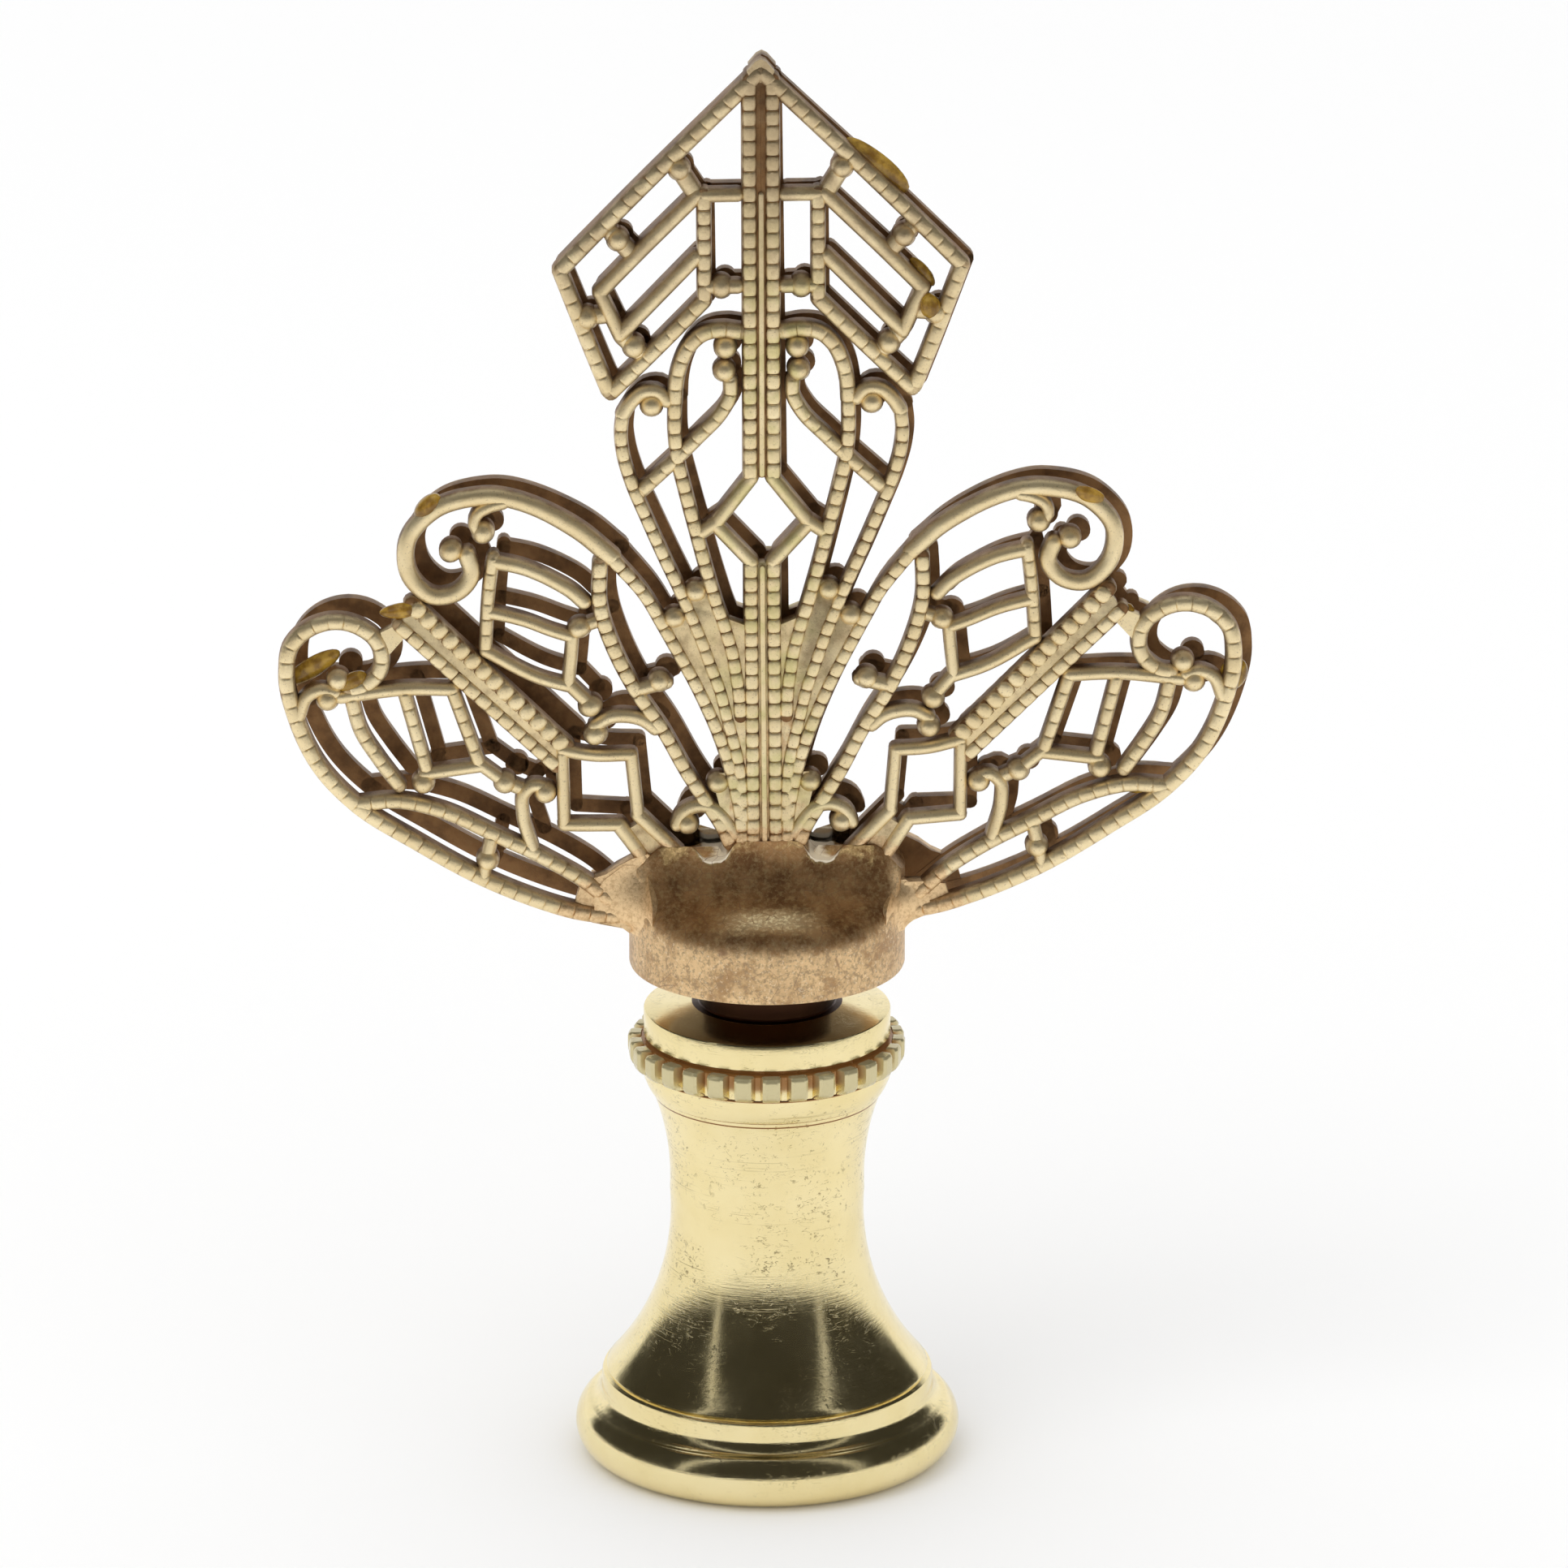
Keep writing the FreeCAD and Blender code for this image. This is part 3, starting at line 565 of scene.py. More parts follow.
def cup_section(angle):
    """Closed section at one angle: up the wall, round the rolled edge, over the dish, along its
    lip, back under the dish and round the half floor."""
    sin, cos = math.sin(angle), math.cos(angle)
    loop = []
    for radius, z in ((CUP_R - 0.14, CUP_Z), (CUP_R - 0.04, CUP_Z + 0.03), (CUP_R, CUP_Z + CUP_EDGE)):
        loop.append((radius * sin, -radius * cos, z, 0.25, 0.0))
    wall_top = dish_point(sin, cos, CUP_R, 0, CUP_ROLL, 0)[2]
    for t in np.linspace(0.2, 1, 5):
        z = CUP_Z + CUP_EDGE + t * (wall_top - CUP_Z - CUP_EDGE)
        loop.append((CUP_R * sin, -CUP_R * cos, z, 0.0, 0.0))
    for turn in np.linspace(0, math.pi / 2, 10)[1:]:
        radius = CUP_R - CUP_ROLL * (1 - math.cos(turn))
        drop = CUP_ROLL * (1 - math.sin(turn))
        loop.append(dish_point(sin, cos, radius, 0, drop, 0.999 * ramp(turn, -0.35, 0.95)))
    start = CUP_R - CUP_ROLL
    end = min(start, FACE_Y / max(cos, 0.05))
    for t in np.linspace(0, 1, 19)[1:]:
        radius = end + (start - end) * (1 - math.sin(t * math.pi / 2))
        loop.append(dish_point(sin, cos, radius, 0, 0, 1))
    edge_x, edge_y, edge_z = loop[-1][:3]
    loop += lip(edge_x, edge_y, edge_z)
    start = CUP_R - CUP_SHEET
    end = min(start, (FACE_Y - CUP_SHEET) / max(cos, 0.05))
    for t in np.linspace(0, 1, 10):
        radius = end + (start - end) * t
        tone = 1 + LIP_HIGHLIGHT_TONE * curl(radius * sin)
        loop.append(dish_point(sin, cos, radius, CUP_SHEET, 0.02, tone, arch_height(edge_x)))
    floor_top = CUP_Z + CUP_SHEET
    for radius, z in ((start, floor_top), (3.6, floor_top), (NOTCH_R, floor_top), (NOTCH_R, CUP_Z),
                      (4.5, CUP_Z)):
        loop.append((radius * sin, -radius * cos, z, 1.0, INSIDE_TONE))
    return loop


def half_cup(shell, turn):
    sections = np.array([cup_section(angle) for angle in np.linspace(-math.pi / 2, math.pi / 2, CUP_STEPS)])
    shell.add_rings(sections[:, :, :3] * turn, sections[:, :, 3], sections[:, :, 4], kind=1)


def gusset(shell, side, turn):
    """Fillet that carries the petal's root round on to the wall of the half cup."""
    heights, reaches = np.array(GUSSETS[side]).T
    rings = []
    for z in np.linspace(heights[0], heights[-1], 22):
        reach = np.interp(z, heights, reaches)
        drop = 1.5 * ramp(z, heights[-1] + 0.2, 26.0)
        wall_y = GUSSET_Y - drop
        wall_x = math.sqrt(CUP_R**2 - wall_y**2) - 0.02 - 0.3 * max(0.0, z - 26.1)
        bend = min(reach, wall_x + 0.45 * drop)
        points = [((1 - t)**2 * reach + 2 * t * (1 - t) * bend + t**2 * wall_x,
                   GUSSET_Y + t**2 * (wall_y - GUSSET_Y)) for t in np.linspace(0, 1, 11)]
        points += [(wall_x - 0.4, wall_y + 0.35), (5.2, -1.2), (reach - 0.15, -1.2)]
        rings.append([(side * x, y, z) for x, y in points])
    shell.add_rings(np.array(rings) * turn, 0.0, 1.0)


# Turned spool
SPOOL_STEPS = 300
AXIS_R = 0.02  # the skin closes round the axis at this radius
BORE_R = 2.667
THREAD_PITCH = 25.4 / 27
THREAD_DEPTH = 0.5
MOUTH_R = 3.375
SEAT_R = 7.0
FOOT_R = 8.5
FOOT_TOP = (7.95, 2.45)
STEP_R = 7.33
WAIST_FOOT = (7.1, 4.04)
WAIST = (4.3, 12.3)
COLLAR_R = 5.5
KNURL_R = 5.55
BAND_R = 5.43
NECK_R = 3.0
NECK_TOP = 24.45
SLOT_R = 2.4
SLOT_TOP = 23.5
TEETH = 30
TOOTH_RISE = 0.62
TOOTH_FULL_Z = 18.9  # up to here a tooth rises out of the collar
TOOTH_TOP_Z = 19.34
TOOTH_CROWN = 0.08
# Recess of each kind of ring: brown for grooves and the ledge; the dark neck under the half cup is painted
# shade.
RING_RECESS = {"plain": 0.0, "line": 0.05, "seat": 0.5, "ledge": 0.5, "thread": 0.7, "dark": 1.0}


def arc_points(a, b, c, count):
    """Points on the circle through a, b and c, without the first."""
    (ax, ay), (bx, by), (cx, cy) = a, b, c
    d = 2 * (ax * (by - cy) + bx * (cy - ay) + cx * (ay - by))
    ux = ((ax**2 + ay**2) * (by - cy) + (bx**2 + by**2) * (cy - ay) + (cx**2 + cy**2) * (ay - by)) / d
    uy = ((ax**2 + ay**2) * (cx - bx) + (bx**2 + by**2) * (ax - cx) + (cx**2 + cy**2) * (bx - ax)) / d
    radius = math.hypot(ax - ux, ay - uy)
    first = math.atan2(ay - uy, ax - ux)
    middle = (math.atan2(by - uy, bx - ux) - first) % (2 * math.pi)
    last = (math.atan2(cy - uy, cx - ux) - first) % (2 * math.pi)
    if middle > last:
        last -= 2 * math.pi
    return [(ux + radius * math.cos(first + last * t), uy + radius * math.sin(first + last * t))
            for t in np.linspace(0, 1, count + 1)[1:]]


def spool_profile():
    """One lathe skin from the drill point, out of the thread, round the outside and back to the
    axis: kinds of surface, each with its (radius, height) points."""
    thread = [(BORE_R, z) for z in np.arange(10.6, 0.55, -THREAD_PITCH / 8)]
    foot = arc_points((SEAT_R, 0.0), (FOOT_R, 1.5), FOOT_TOP, 26)
    foot += arc_points(FOOT_TOP, (7.5, 2.68), (7.34, 2.95), 8)
    waist = arc_points(WAIST_FOOT, (5.15, 7.1), WAIST, 34)
    waist += arc_points(WAIST, (4.62, 15.6), (4.97, 16.75), 14)
    tooth_heights = (18.26, 18.28, 18.34, 18.44, 18.6, 18.8, 19.0, 19.12, 19.22, 19.3, TOOTH_TOP_Z)
    return [
        ("dark", [(AXIS_R, 12.5), (BORE_R, 11.0)]),
        ("thread", thread),
        ("dark", [(2.75, 0.4), (MOUTH_R, 0.0)]),
        ("seat", [(6.6, 0.0), (SEAT_R, 0.0)]),
        ("plain", foot + [(STEP_R, 3.1), (STEP_R, 3.66), (7.29, 3.78), (7.2, 3.84)]),
        ("line", [(7.08, 3.87), (7.03, 3.9), (7.05, 3.95)]),
        ("plain", [(7.12, 3.99), WAIST_FOOT] + waist),
        ("dark", [(4.99, 16.8)]),
        ("plain", [(5.02, 16.86), (5.06, 16.98)]),
        ("dark", [(5.07, 17.02)]),
        ("plain", [(5.16, 17.05), (5.3, 17.3), (5.42, 17.6), (5.5, 17.95), (5.52, 18.12)]),
        ("dark", [(COLLAR_R, 18.2), (COLLAR_R, 18.24)]),
        ("teeth", [(KNURL_R, z) for z in tooth_heights]),
        ("crown", [(5.56, 19.345)]),
        ("ledge", [(5.52, 19.35), (5.36, 19.355), (5.24, 19.36), (5.18, 19.4), (5.18, 19.56),
                   (5.39, 19.58)]),
        ("plain", [(BAND_R, 19.61), (BAND_R, 19.7), (BAND_R, 20.2), (BAND_R, 20.69), (5.4, 20.74),
                   (5.33, 20.76), (4.6, 20.84), (3.9, 20.92), (3.32, 20.997)]),
        # Neck and slot under the half cup, painted near black as shade.
        ("dark", [(3.3, 21.0), (3.05, 21.04), (NECK_R, 21.1), (NECK_R, CUP_Z), (SLOT_R, CUP_Z),
                  (SLOT_R, SLOT_TOP), (NECK_R, SLOT_TOP), (NECK_R, NECK_TOP), (AXIS_R, NECK_TOP)]),
    ]


def tooth_ring(z, phase, tooth, crooked):
    """Radius, level and recess of the knurl at one height; phase runs from -1 to 1 over a tooth. The recess
    paints shade in the upper gaps between the teeth, dark shade down the tooth flanks and a thin line of
    shade beside each tooth's middle.
    """
    rise = 1.0 if z > TOOTH_FULL_Z else max(0.0, 1 - ((TOOTH_FULL_Z - z) / 0.68)**3.0)**0.5
    rise -= 0.22 * ramp(z, 19.22, 19.4)
    radius = KNURL_R - 0.05 + TOOTH_RISE * rise * tooth * crooked
    level = z + TOOTH_CROWN * tooth * ramp(z, TOOTH_FULL_Z, TOOTH_TOP_Z)
    gap = 0.45 * (1 - ramp(tooth, 0.1, 0.9)) * ramp(z, 18.35, TOOTH_FULL_Z)
    outline = 0.85 * np.exp(-((tooth - 0.45) / 0.3)**2) * ramp(z, 18.3, 18.6)
    streak = 0.3 * (np.abs(phase - 0.12) < 0.06)
    return radius, level, np.maximum(np.maximum(gap, outline), streak)


def spool():
    around = np.linspace(0, 2 * math.pi, SPOOL_STEPS, endpoint=False)
    phase = (around * TEETH / (2 * math.pi)) % 1 * 2 - 1
    tooth = 1 - ramp(np.abs(phase), 0.52, 0.84)
    crooked = np.repeat(rng.uniform(0.88, 1.05, TEETH), SPOOL_STEPS // TEETH)
    blank = np.zeros(SPOOL_STEPS)
    rings, values, tones = [], [], []
    for kind, points in spool_profile():
        for r, z in points:
            radius, level, tone = blank + r, blank + z, blank
            value = blank + RING_RECESS.get(kind, 0.0)
            if kind == "thread":
                turn = (z / THREAD_PITCH - around / (2 * math.pi)) % 1
                radius = r + THREAD_DEPTH * (1 - np.abs(turn * 2 - 1))
            elif kind == "teeth":
                radius, level, value = tooth_ring(z, phase, tooth, crooked)
                tone = tooth
            elif kind == "crown":
                level = z + TOOTH_CROWN * tooth
                value = 0.5 * (1 - tooth)
                tone = tooth
            rings.append(np.column_stack([radius * np.cos(around), radius * np.sin(around), level]))
            values.append(value)
            tones.append(tone)
    shell = Shell()
    shell.add_rings(rings, values, tones)
    return shell


# Set glue: u, v above the foot, y, long and short half sizes, turn in degrees, half thickness
GLUE = [
    (4.85, 59.05, -0.1, 1.75, 0.62, -44, 0.35), (14.0, 44.45, -1.45, 0.65, 0.35, -20, 0.22),
    (20.35, 35.9, -0.6, 0.75, 0.6, 60, 0.5), (16.3, 31.1, -1.3, 0.6, 0.3, 15, 0.3),
    (-14.6, 44.3, -0.9, 0.7, 0.4, 35, 0.6), (-15.9, 39.65, -1.2, 0.8, 0.35, 5, 0.4),
    (-19.7, 36.9, -0.4, 1.5, 0.42, 30, 0.3), (-18.0, 36.5, -1.2, 0.7, 0.4, 25, 0.45),
    (15.6, 38.9, -0.9, 0.5, 0.35, 40, 0.4), (7.2, 52.9, -1.0, 0.6, 0.45, -60, 0.5),
    (6.9, 54.3, -0.3, 0.8, 0.3, -55, 0.3), (19.6, 38.6, -0.3, 0.9, 0.35, -45, 0.3),
]
GLUE_STEPS = 28


def glue_drop(index, u, v, depth, long, short, angle, thick, material):
    """Lump or smear of set glue with an uneven skin."""
    around = np.linspace(0, 2 * math.pi, GLUE_STEPS, endpoint=False)
    lumps = rng.uniform(-1, 1, 6)
    swell = 1.0
    for wave, share in ((1, 0.12), (2, 0.1), (3, 0.07)):
        size, shift = lumps[2 * wave - 2:2 * wave]
        swell = swell + share * size * np.cos(wave * around + shift * 3)
    turn = math.radians(angle)
    rings = []
    for lat in np.linspace(-math.pi / 2, math.pi / 2, 15)[1:-1]:
        a = long * math.cos(lat) * np.cos(around) * swell
        b = short * math.cos(lat) * np.sin(around) * swell
        rings.append(np.column_stack([u + a * math.cos(turn) - b * math.sin(turn),
                                      np.full(GLUE_STEPS, depth) + thick * math.sin(lat),
                                      v + a * math.sin(turn) + b * math.cos(turn)]))
    shell = Shell()
    shell.add_rings(rings, 0.0)
    shell.points = [tilted(p + (0, 0, CREST - DRAWN_CREST)) for p in shell.points]
    return shell.build("glue_drop_%d" % index, [material], sharp_deg=80)


# Materials; colours are linear
KHAKI = (0.97, 0.81, 0.5)
DULL_KHAKI = (0.88, 0.71, 0.41)
OLIVE = (0.62, 0.56, 0.22)
RUBBED_BROWN = (0.56, 0.41, 0.23)
KITE_BROWN = (0.58, 0.44, 0.26)
SPINE_BROWN = (0.4, 0.29, 0.17)
DIRT = (0.36, 0.26, 0.15)
ROUGH_SHEET = (0.88, 0.64, 0.36)
ROUGH_SHEET_DARK = (0.66, 0.44, 0.23)
# Brown of the filigree's walls and grooves: patina, and painted shade on the walls and rib flanks
WALL_BROWN = (0.3, 0.16, 0.064)
WALL_BROWN_DARK = (0.15, 0.076, 0.030)

CUP_COPPER = (0.82, 0.58, 0.31)
CUP_COPPER_DARK = (0.66, 0.45, 0.235)
CUP_STAIN = (0.42, 0.245, 0.11)
CUP_SPECK = (0.4, 0.27, 0.15)
# Pale glint colour of the wall: a painted highlight
CUP_PAINTED_GLINT = (1.0, 0.84, 0.58)
# The dish's brown is partly patina and partly a painted dark reflection of the room.
DISH_BROWN = (0.22, 0.108, 0.042)
DISH_BROWN_PALE = (0.5, 0.28, 0.12)
DISH_SPECK = (0.6, 0.42, 0.2)
# Pale crescent in the dish: a painted highlight
DISH_PAINTED_HIGHLIGHT = (1.0, 0.86, 0.52)
GILT = (0.8, 0.58, 0.28)
GILT_DARK = (0.5, 0.33, 0.14)
# Pale colour of the curled lips: a painted highlight where the rolled edge catches the light
LIP_PAINTED_HIGHLIGHT = (0.97, 0.86, 0.66)
CUP_CRACK = (0.34, 0.2, 0.11)
# Dark inside the half cup: painted shade
CUP_INSIDE_SHADE = (0.14, 0.075, 0.04)

POLISHED = (0.92, 0.79, 0.45)
POLISHED_DULL = (0.86, 0.72, 0.37)
SPOOL_MARK = (0.33, 0.26, 0.13)
TOOTH_FACE = (0.54, 0.48, 0.28)
# Brown and black of grooves and the ledge, and painted shade in the knurl and on the neck
GROOVE_AND_SHADE_BROWN = (0.37, 0.17, 0.045)
GROOVE_AND_SHADE_BLACK = (0.05, 0.022, 0.012)

AMBER = (0.62, 0.38, 0.05)
AMBER_DARK = (0.26, 0.13, 0.012)


class Graph:
    """Shorthand for a material's nodes."""

    def __init__(self, name):
        self.material = bpy.data.materials.new(name)
        self.material.use_nodes = True
        self.tree = self.material.node_tree
        self.shader = self.tree.nodes["Principled BSDF"]

    def node(self, kind, inputs=(), **settings):
        made = self.tree.nodes.new("ShaderNode" + kind)
        for key, value in settings.items():
            setattr(made, key, value)
        for key, value in dict(inputs).items():
            self.put(made.inputs[key], value)
        return made

    def put(self, socket, value):
        if isinstance(value, bpy.types.NodeSocket):
            self.tree.links.new(value, socket)
        else:
            socket.default_value = value

    def place(self, stretch=(1, 1, 1)):
        """Object coordinates in millimetres, stretched."""
        where = self.node("TexCoord").outputs["Object"]
        scale = tuple(1000 * s for s in stretch)
        return self.node("Mapping", {"Vector": where, "Scale": scale}).outputs["Vector"]

    def noise(self, scale, detail=3.0, rough=0.6, stretch=(1, 1, 1), distort=0.0):
        inputs = {"Vector": self.place(stretch), "Scale": scale, "Detail": detail, "Roughness": rough,
                  "Distortion": distort}
        return self.node("TexNoise", inputs).outputs["Fac"]

    def step(self, value, low, high, out_low=0.0, out_high=1.0):
        """Smooth step of a value, from out_low at low to out_high at high."""
        inputs = {"Value": value, "From Min": low, "From Max": high, "To Min": out_low, "To Max": out_high}
        return self.node("MapRange", inputs, interpolation_type="SMOOTHSTEP").outputs["Result"]

    def math(self, operation, a, b=0.0):
        return self.node("Math", {0: a, 1: b}, operation=operation).outputs[0]

    def times(self, a, b):
        return self.math("MULTIPLY", a, b)

    def blend(self, factor, a, b):
        mixer = self.node("Mix", data_type="RGBA")
        self.put(mixer.inputs["Factor"], factor)
        for key, value in (("A", a), ("B", b)):
            socket = [s for s in mixer.inputs if s.name == key and s.type == "RGBA"][0]
            self.put(socket, value if isinstance(value, bpy.types.NodeSocket) else (*value, 1))
        return [s for s in mixer.outputs if s.type == "RGBA"][0]

    def value(self, name):
        return self.node("Attribute", attribute_name=name).outputs["Fac"]

    def axis(self, name):
        """One object coordinate in millimetres."""
        where = self.node("TexCoord").outputs["Object"]
        split = self.node("SeparateXYZ", {"Vector": where})
        return self.times(split.outputs[name], 1000)

    def bump(self, height, strength, normal=None):
        made = self.node("Bump", {"Height": height, "Strength": strength, "Distance": 0.00005})
        if normal is not None:
            self.put(made.inputs["Normal"], normal)
        return made.outputs["Normal"]

    def finish(self, **values):
        names = {"color": "Base Color", "metallic": "Metallic", "roughness": "Roughness", "normal": "Normal",
                 "transmission": "Transmission Weight", "ior": "IOR"}
        for key, value in values.items():
            if key == "color" and not isinstance(value, bpy.types.NodeSocket):
                value = (*value, 1)
            self.put(self.shader.inputs[names[key]], value)
        return self.material


def filigree_face(g):
    """Khaki face with dirt in it, browner on the kite and olive along the spine."""
    z = g.axis("Z")
    across = g.math("ABSOLUTE", g.axis("X"))
    face = g.blend(g.step(g.noise(0.4, 3), 0.35, 0.65), KHAKI, DULL_KHAKI)
    face = g.blend(g.step(g.noise(3.0, 5, 0.7), 0.6, 0.82), face, RUBBED_BROWN)
    face = g.blend(g.step(g.noise(11.0, 3, 0.7), 0.58, 0.7, 0.0, 0.6), face, DIRT)
    kite = g.times(g.step(z, 49, 56), g.step(g.noise(1.0, 5, 0.7), 0.38, 0.62, 0.25, 0.75))
    face = g.blend(kite, face, KITE_BROWN)
    near_spine = g.times(g.step(across, 3.6, 1.0), g.step(z, 61, 50))
    olive = g.times(near_spine, g.step(g.noise(0.7, 3), 0.42, 0.66, 0.0, 0.6))
    face = g.blend(olive, face, OLIVE)
    dark_spine = g.times(g.step(across, 1.4, 0.6), g.step(z, 52, 60, 0.0, 0.55))
    return g.blend(dark_spine, face, SPINE_BROWN)


def filigree_brass():
    """Matte gilt brass: khaki faces, brown walls and grooves, coppery granular roots. The brown is patina in
    the grooves and painted shade on the walls and down the rib flanks.
    """
    g = Graph("filigree_brass")
    # Patina and painted shade: recess, with a little noise, browns the walls, flanks, grooves and low sheets
    patina_and_shade = g.math("ADD", g.value("recess"), g.step(g.noise(1.3, 4), 0.35, 0.8, -0.1, 0.22))
    brown = g.step(patina_and_shade, 0.25, 0.95)
    edge = g.math("ADD", g.value("tone"), g.step(g.noise(1.6, 4), 0.3, 0.7, -0.25, 0.25))
    rough_sheet = g.blend(g.step(g.noise(5.0, 4, 0.7), 0.42, 0.66), ROUGH_SHEET, ROUGH_SHEET_DARK)
    face = g.blend(g.step(edge, 0.4, 0.75), filigree_face(g), rough_sheet)
    wall = g.blend(g.step(g.noise(0.8, 4), 0.35, 0.7), WALL_BROWN, WALL_BROWN_DARK)
    return g.finish(color=g.blend(brown, face, wall), metallic=g.step(brown, 0, 1, 0.9, 0.75),
                    roughness=g.step(brown, 0, 1, 0.4, 0.42), normal=g.bump(g.noise(9.0, 5, 0.75), 0.45))


def cup_wall(g, speck):
    """Satin coppery wall with stains, specks and painted highlights as glints."""
    wall = g.blend(g.step(g.noise(0.9, 5), 0.35, 0.7), CUP_COPPER, CUP_COPPER_DARK)
    wall = g.blend(g.step(g.noise(0.75, 6, 0.75), 0.45, 0.62, 0.0, 0.85), wall, CUP_STAIN)
    wall = g.blend(g.times(speck, 0.85), wall, CUP_SPECK)
    # Painted highlights: scattered pale glints on the wall.
    return g.blend(g.step(g.noise(7.0, 3, 0.7), 0.55, 0.68, 0.0, 0.45), wall, CUP_PAINTED_GLINT)


def cup_brass():
    """Half cup: satin coppery wall with painted glints, brown dish of patina and painted dark reflection with
    a pale crescent as a painted highlight, and pale curled lips painted as highlights; its inside is painted
    dark as shade.
    """
    g = Graph("cup_brass")
    tone = g.math("ADD", g.value("tone"), g.step(g.noise(1.8, 5, 0.75), 0.25, 0.75, -0.3, 0.3))
    speck = g.step(g.noise(5.0, 4, 0.7), 0.46, 0.64)
    # Dish brown: partly patina, partly a painted dark reflection.
    brown = g.blend(g.step(g.noise(0.6, 6, 0.7), 0.36, 0.64), DISH_BROWN, DISH_BROWN_PALE)
    brown = g.blend(g.times(speck, 0.5), brown, DISH_SPECK)
    # Painted highlight: a speckled pale crescent in the middle of the dish.
    pale_x = g.step(g.math("ABSOLUTE", g.axis("X")), 3.0, 0.5)
    pale_y = g.step(g.math("ABSOLUTE", g.math("ADD", g.math("ABSOLUTE", g.axis("Y")), -4.4)), 1.3, 0.3)
    painted_highlight = g.times(g.times(pale_x, pale_y), g.step(speck, 0, 1, 0.55, 1.0))
    brown = g.blend(painted_highlight, brown, DISH_PAINTED_HIGHLIGHT)
    color = g.blend(g.step(tone, 0.15, 0.95), cup_wall(g, speck), brown)
    gilded = g.times(g.step(tone, 1.45, 1.85), g.step(g.noise(2.2, 4), 0.4, 0.55))
    color = g.blend(gilded, color, g.blend(speck, GILT_DARK, GILT))
    # Painted highlight on the curled lips in the openings.
    curled_lip = g.step(g.value("tone"), 2.1, 2.5)
    color = g.blend(curled_lip, color, LIP_PAINTED_HIGHLIGHT)
    cells = {"Vector": g.place(), "Scale": 1.1}
    cracks = g.node("TexVoronoi", cells, feature="DISTANCE_TO_EDGE").outputs["Distance"]
    patches = g.step(g.noise(0.6, 2), 0.45, 0.6, 0.0, 0.8)
    color = g.blend(g.times(g.step(cracks, 0.0, 0.02, 1.0, 0.0), patches), color, CUP_CRACK)
    # Painted shade: the floor inside the half cup, where recess is 1, is painted dark.
    color = g.blend(g.times(g.step(g.value("recess"), 0.3, 1.0), 0.9), color, CUP_INSIDE_SHADE)
    # Where highlights are painted, on the lips and in the dish, the metal is less metallic so the pale colour
    # shows.
    metal = g.math("SUBTRACT", 0.85, g.times(g.math("MAXIMUM", curled_lip, painted_highlight), 0.5))
    return g.finish(color=color, metallic=metal, roughness=0.43, normal=g.bump(g.noise(8.0, 5, 0.75), 0.5))


def spool_marks(g):
    """Stray scratches, small pits and turning rings, most of them on the waist."""
    waist = g.times(g.step(g.axis("Z"), 7.0, 9.5), g.step(g.axis("Z"), 20.5, 16.0))
    patch = g.times(g.step(g.noise(0.4, 3), 0.4, 0.58), g.step(waist, 0, 1, 0.25, 1.0))
    thin = g.math("ABSOLUTE", g.math("SUBTRACT", g.noise(1.6, 2, 0.5, (1, 1, 2.2), 0.8), 0.5))
    scratch = g.times(g.step(thin, 0.002, 0.012, 1.0, 0.0), g.step(g.noise(2.6, 2), 0.48, 0.56))
    pits = g.step(g.noise(3.6, 4, 0.65), 0.6, 0.68)
    rings = g.step(g.noise(1.0, 3, 0.7, (0.12, 0.12, 10)), 0.6, 0.7, 0.0, 0.5)
    return g.times(g.math("MAXIMUM", g.math("MAXIMUM", scratch, pits), rings), patch)


def spool_brass():
    """Polished turned brass with turning lines, stray scratches and small pits; grooves and the ledge are
    brown, and the knurl's gaps and flanks and the neck under the half cup are painted shade.
    """
    g = Graph("spool_brass")
    recess = g.value("recess")
    tone = g.value("tone")
    marks = spool_marks(g)
    face = g.blend(g.step(g.noise(0.3, 4, 0.6), 0.3, 0.75), POLISHED, POLISHED_DULL)
    face = g.blend(g.times(marks, 0.8), face, SPOOL_MARK)
    face = g.blend(g.times(tone, 0.8), face, TOOTH_FACE)
    # Grooves and painted shade: recess browns and then blackens the colour.
    color = g.blend(g.step(recess, 0.1, 0.5), face, GROOVE_AND_SHADE_BROWN)
    color = g.blend(g.step(recess, 0.6, 1.0), color, GROOVE_AND_SHADE_BLACK)
    lines = g.bump(g.noise(1.3, 4, 0.7, (0.5, 0.5, 9)), 0.1, g.bump(marks, 0.25))
    rough = g.math("ADD", g.step(g.noise(0.7, 4), 0.3, 0.8, 0.13, 0.22), g.times(recess, 0.15))
    metal = g.math("MAXIMUM", g.step(recess, 0.1, 0.5, 1.0, 0.35), g.step(recess, 0.6, 0.9))
    metal = g.math("SUBTRACT", metal, g.times(tone, 0.4))
    return g.finish(color=color, metallic=metal, roughness=rough,
                    normal=g.bump(g.noise(5.0, 4, 0.6), 0.06, lines))


def glue_amber():
    g = Graph("glue_amber")
    color = g.blend(g.step(g.noise(1.6, 4), 0.35, 0.65), AMBER, AMBER_DARK)
    return g.finish(color=color, transmission=0.45, roughness=0.25, ior=1.5,
                    normal=g.bump(g.noise(2.5, 3), 0.5))


# Pieces
def place_leaf(name, turned, materials):
    shell = flat_filigree()
    shell.points = [upright(p) for p in shell.points]
    if turned:
        shell.points = [p * HALF_TURN + (BACK_SHIFT + FRONT_SHIFT, 0, 0) for p in shell.points]
    shell.points = [tilted(p) for p in shell.points]
    turn = HALF_TURN if turned else (1, 1, 1)
    half_cup(shell, turn)
    for side in (-1, 1):
        gusset(shell, side, turn)
    return shell.build(name, materials)


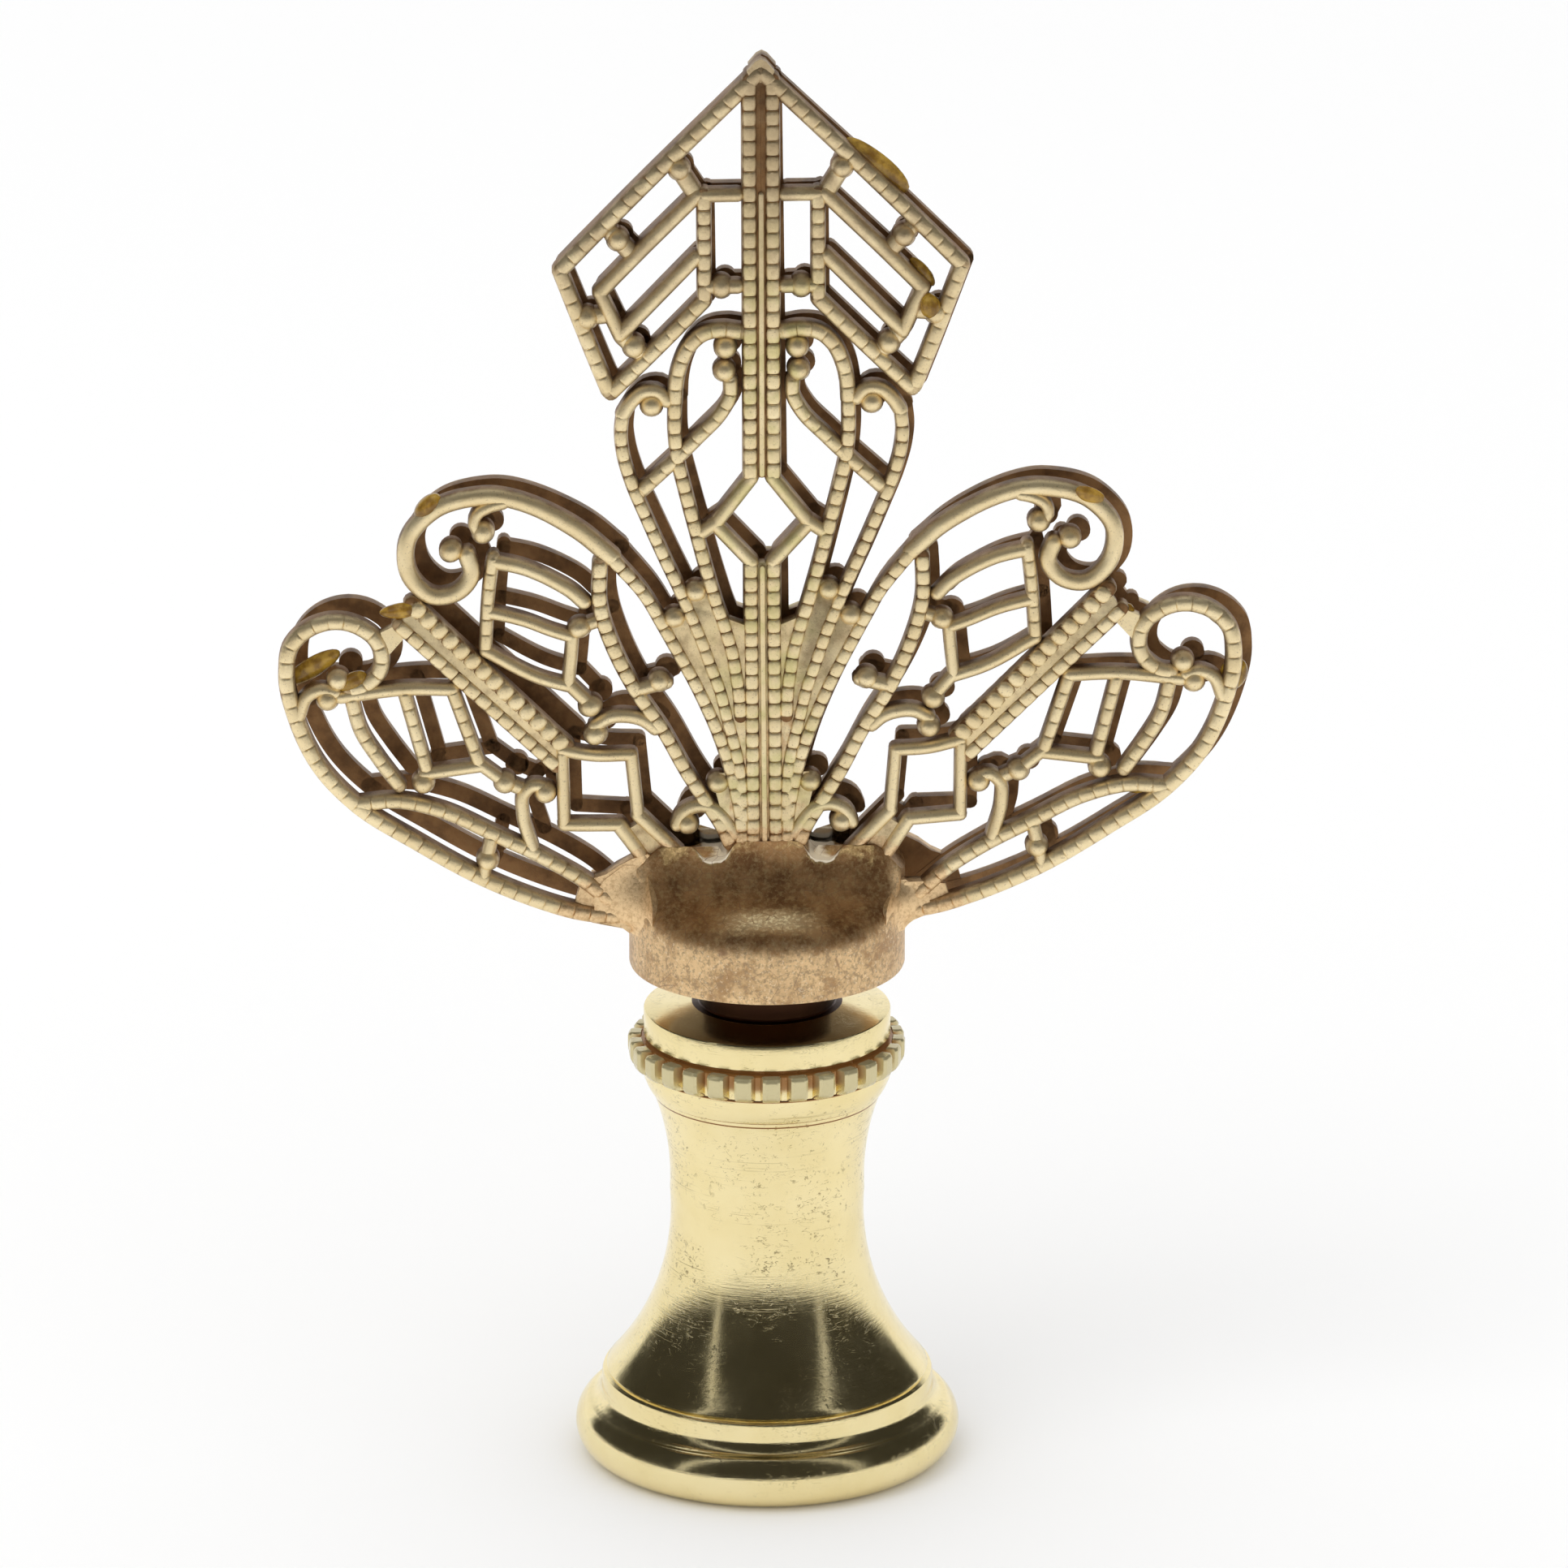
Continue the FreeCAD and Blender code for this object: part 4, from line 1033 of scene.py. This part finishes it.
def pieces():
    leaf_materials = [filigree_brass(), cup_brass()]
    for name, turned, node in (("front_filigree", False, "front_leaf"), ("back_filigree", True, "back_leaf")):
        leaf = place_leaf(name, turned, leaf_materials)
        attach(leaf, "root")
        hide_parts(node)
    base = spool().build("spool", [spool_brass()], sharp_deg=35)
    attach(base, "root")
    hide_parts("turned_base")
    amber = glue_amber()
    for index, sizes in enumerate(GLUE):
        drop = glue_drop(index + 1, *sizes, amber)
        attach(drop, "root")


# Stage; table, room, panels and lamp in metres
MIDDLE = (0, 0, 0.03)
TABLE_HALF = 3.0
TABLE_WHITE = (0.97, 0.97, 0.97)
ROOM_R = 1.6
ROOM_STEPS = 18
ROOM_LOW = 3.6  # degrees above the table
ROOM_LIFT = 22.4  # and how much higher behind the object
PANEL_R = 1.45
DARK_CLOTH = (0.028, 0.026, 0.02)
# Corners of the panels in the dark room: (sideways, towards the camera) at unit height
TOP_PANEL = [(-0.3, -0.14), (0.3, -0.14), (0.34, -0.62), (-0.34, -0.62)]
SEAM_PANEL = [(-0.01, 0.03), (0.035, -0.03), (7.85, 5.25), (7.35, 5.75)]
SEAM_GLOW = 0.65
LAMP_PLACE = (-0.5, -0.5, 1.1)
LAMP_SIZE = 0.7
LAMP_POWER = 2
# Camera, in millimetres: away from its target, above it, and where the target is
LENS = 262.7
CAMERA_TURN = math.radians(1.9)
CAMERA_AWAY = 474.5
CAMERA_RISE = 157.8
TARGET_RIGHT = 0.745
TARGET_Z = 31


def stage_mesh(name, points, faces, material):
    mesh = bpy.data.meshes.new(name)
    mesh.from_pydata(points, [], faces)
    mesh.materials.append(material)
    made = add_object(name, mesh)
    return made


def on_dome(x, y, z, radius):
    away = np.array([x, -y, z], float)
    return tuple(away / np.linalg.norm(away) * radius + MIDDLE)


def seen_in_reflections_only(made):
    made.visible_camera = False
    made.visible_diffuse = False
    made.visible_shadow = False
    made.visible_transmission = False


def dark_room(material):
    """The dim room over the bright table; behind the object it starts higher up."""
    azimuths = np.radians(np.arange(-180, 181, 5))
    count = len(azimuths)
    points = []
    for i in range(ROOM_STEPS + 1):
        for azimuth in azimuths:
            low = ROOM_LOW + ROOM_LIFT * ramp(abs(math.degrees(azimuth)), 128, 150)
            up = math.radians(low + (90 - low) * i / ROOM_STEPS)
            points.append(on_dome(math.sin(azimuth) * math.cos(up), math.cos(azimuth) * math.cos(up),
                                  math.sin(up), ROOM_R))
    faces = [(i * count + j, i * count + j + 1, (i + 1) * count + j + 1, (i + 1) * count + j)
             for i in range(ROOM_STEPS) for j in range(count - 1)]
    seen_in_reflections_only(stage_mesh("dark_room", points, faces, material))


def light_panel(name, corners, material):
    points = [on_dome(x, y, 1.0, PANEL_R) for x, y in corners]
    seen_in_reflections_only(stage_mesh(name, points, [(0, 1, 2, 3)], material))


def glow(name, strength):
    made = bpy.data.materials.new(name)
    made.use_nodes = True
    tree = made.node_tree
    tree.nodes.remove(tree.nodes["Principled BSDF"])
    emitter = tree.nodes.new("ShaderNodeEmission")
    emitter.inputs["Strength"].default_value = strength
    tree.links.new(emitter.outputs[0], tree.nodes["Material Output"].inputs["Surface"])
    return made


def world():
    """Even white light; at a strength of 1 the background is white as well."""
    made = bpy.data.worlds.new("studio")
    made.use_nodes = True
    back = made.node_tree.nodes["Background"]
    back.inputs["Color"].default_value = (1, 1, 1, 1)
    back.inputs["Strength"].default_value = 1.0
    bpy.context.scene.world = made


def key_light():
    lamp = bpy.data.lights.new("key", "AREA")
    lamp.shape = "DISK"
    lamp.size = LAMP_SIZE
    lamp.energy = LAMP_POWER
    made = add_object("key", lamp)
    made.location = LAMP_PLACE
    made.rotation_euler = (Vector(MIDDLE) - Vector(LAMP_PLACE)).to_track_quat("-Z", "Y").to_euler()
    made.visible_glossy = False


def camera():
    data = bpy.data.cameras.new("camera")
    data.lens = LENS
    data.sensor_width = 36
    data.clip_end = 10
    made = add_object("camera", data)
    right = Vector((math.cos(CAMERA_TURN), -math.sin(CAMERA_TURN), 0))
    ahead = Vector((math.sin(CAMERA_TURN), math.cos(CAMERA_TURN), 0))
    target = (right * TARGET_RIGHT + Vector((0, 0, TARGET_Z))) * MM
    made.location = target + (Vector((0, 0, CAMERA_RISE)) - ahead * CAMERA_AWAY) * MM
    made.rotation_euler = (target - made.location).to_track_quat("-Z", "Y").to_euler()
    bpy.context.scene.camera = made


def stage():
    world()
    camera()
    corners = [(x * TABLE_HALF, y * TABLE_HALF, 0) for x, y in ((-1, -1), (1, -1), (1, 1), (-1, 1))]
    stage_mesh("table", corners, [(0, 1, 2, 3)], Graph("table").finish(color=TABLE_WHITE, roughness=0.7))
    dark_room(Graph("dark_cloth").finish(color=DARK_CLOTH, roughness=0.9))
    light_panel("top_light", TOP_PANEL, glow("top_glow", 1.0))
    seam = glow("seam_glow", SEAM_GLOW)
    for side in (-1, 1):
        light_panel("seam_%d" % (side + 2), [(side * x, y) for x, y in SEAM_PANEL], seam)
    key_light()
    bpy.context.scene.view_settings.view_transform = "Standard"


pieces()
stage()
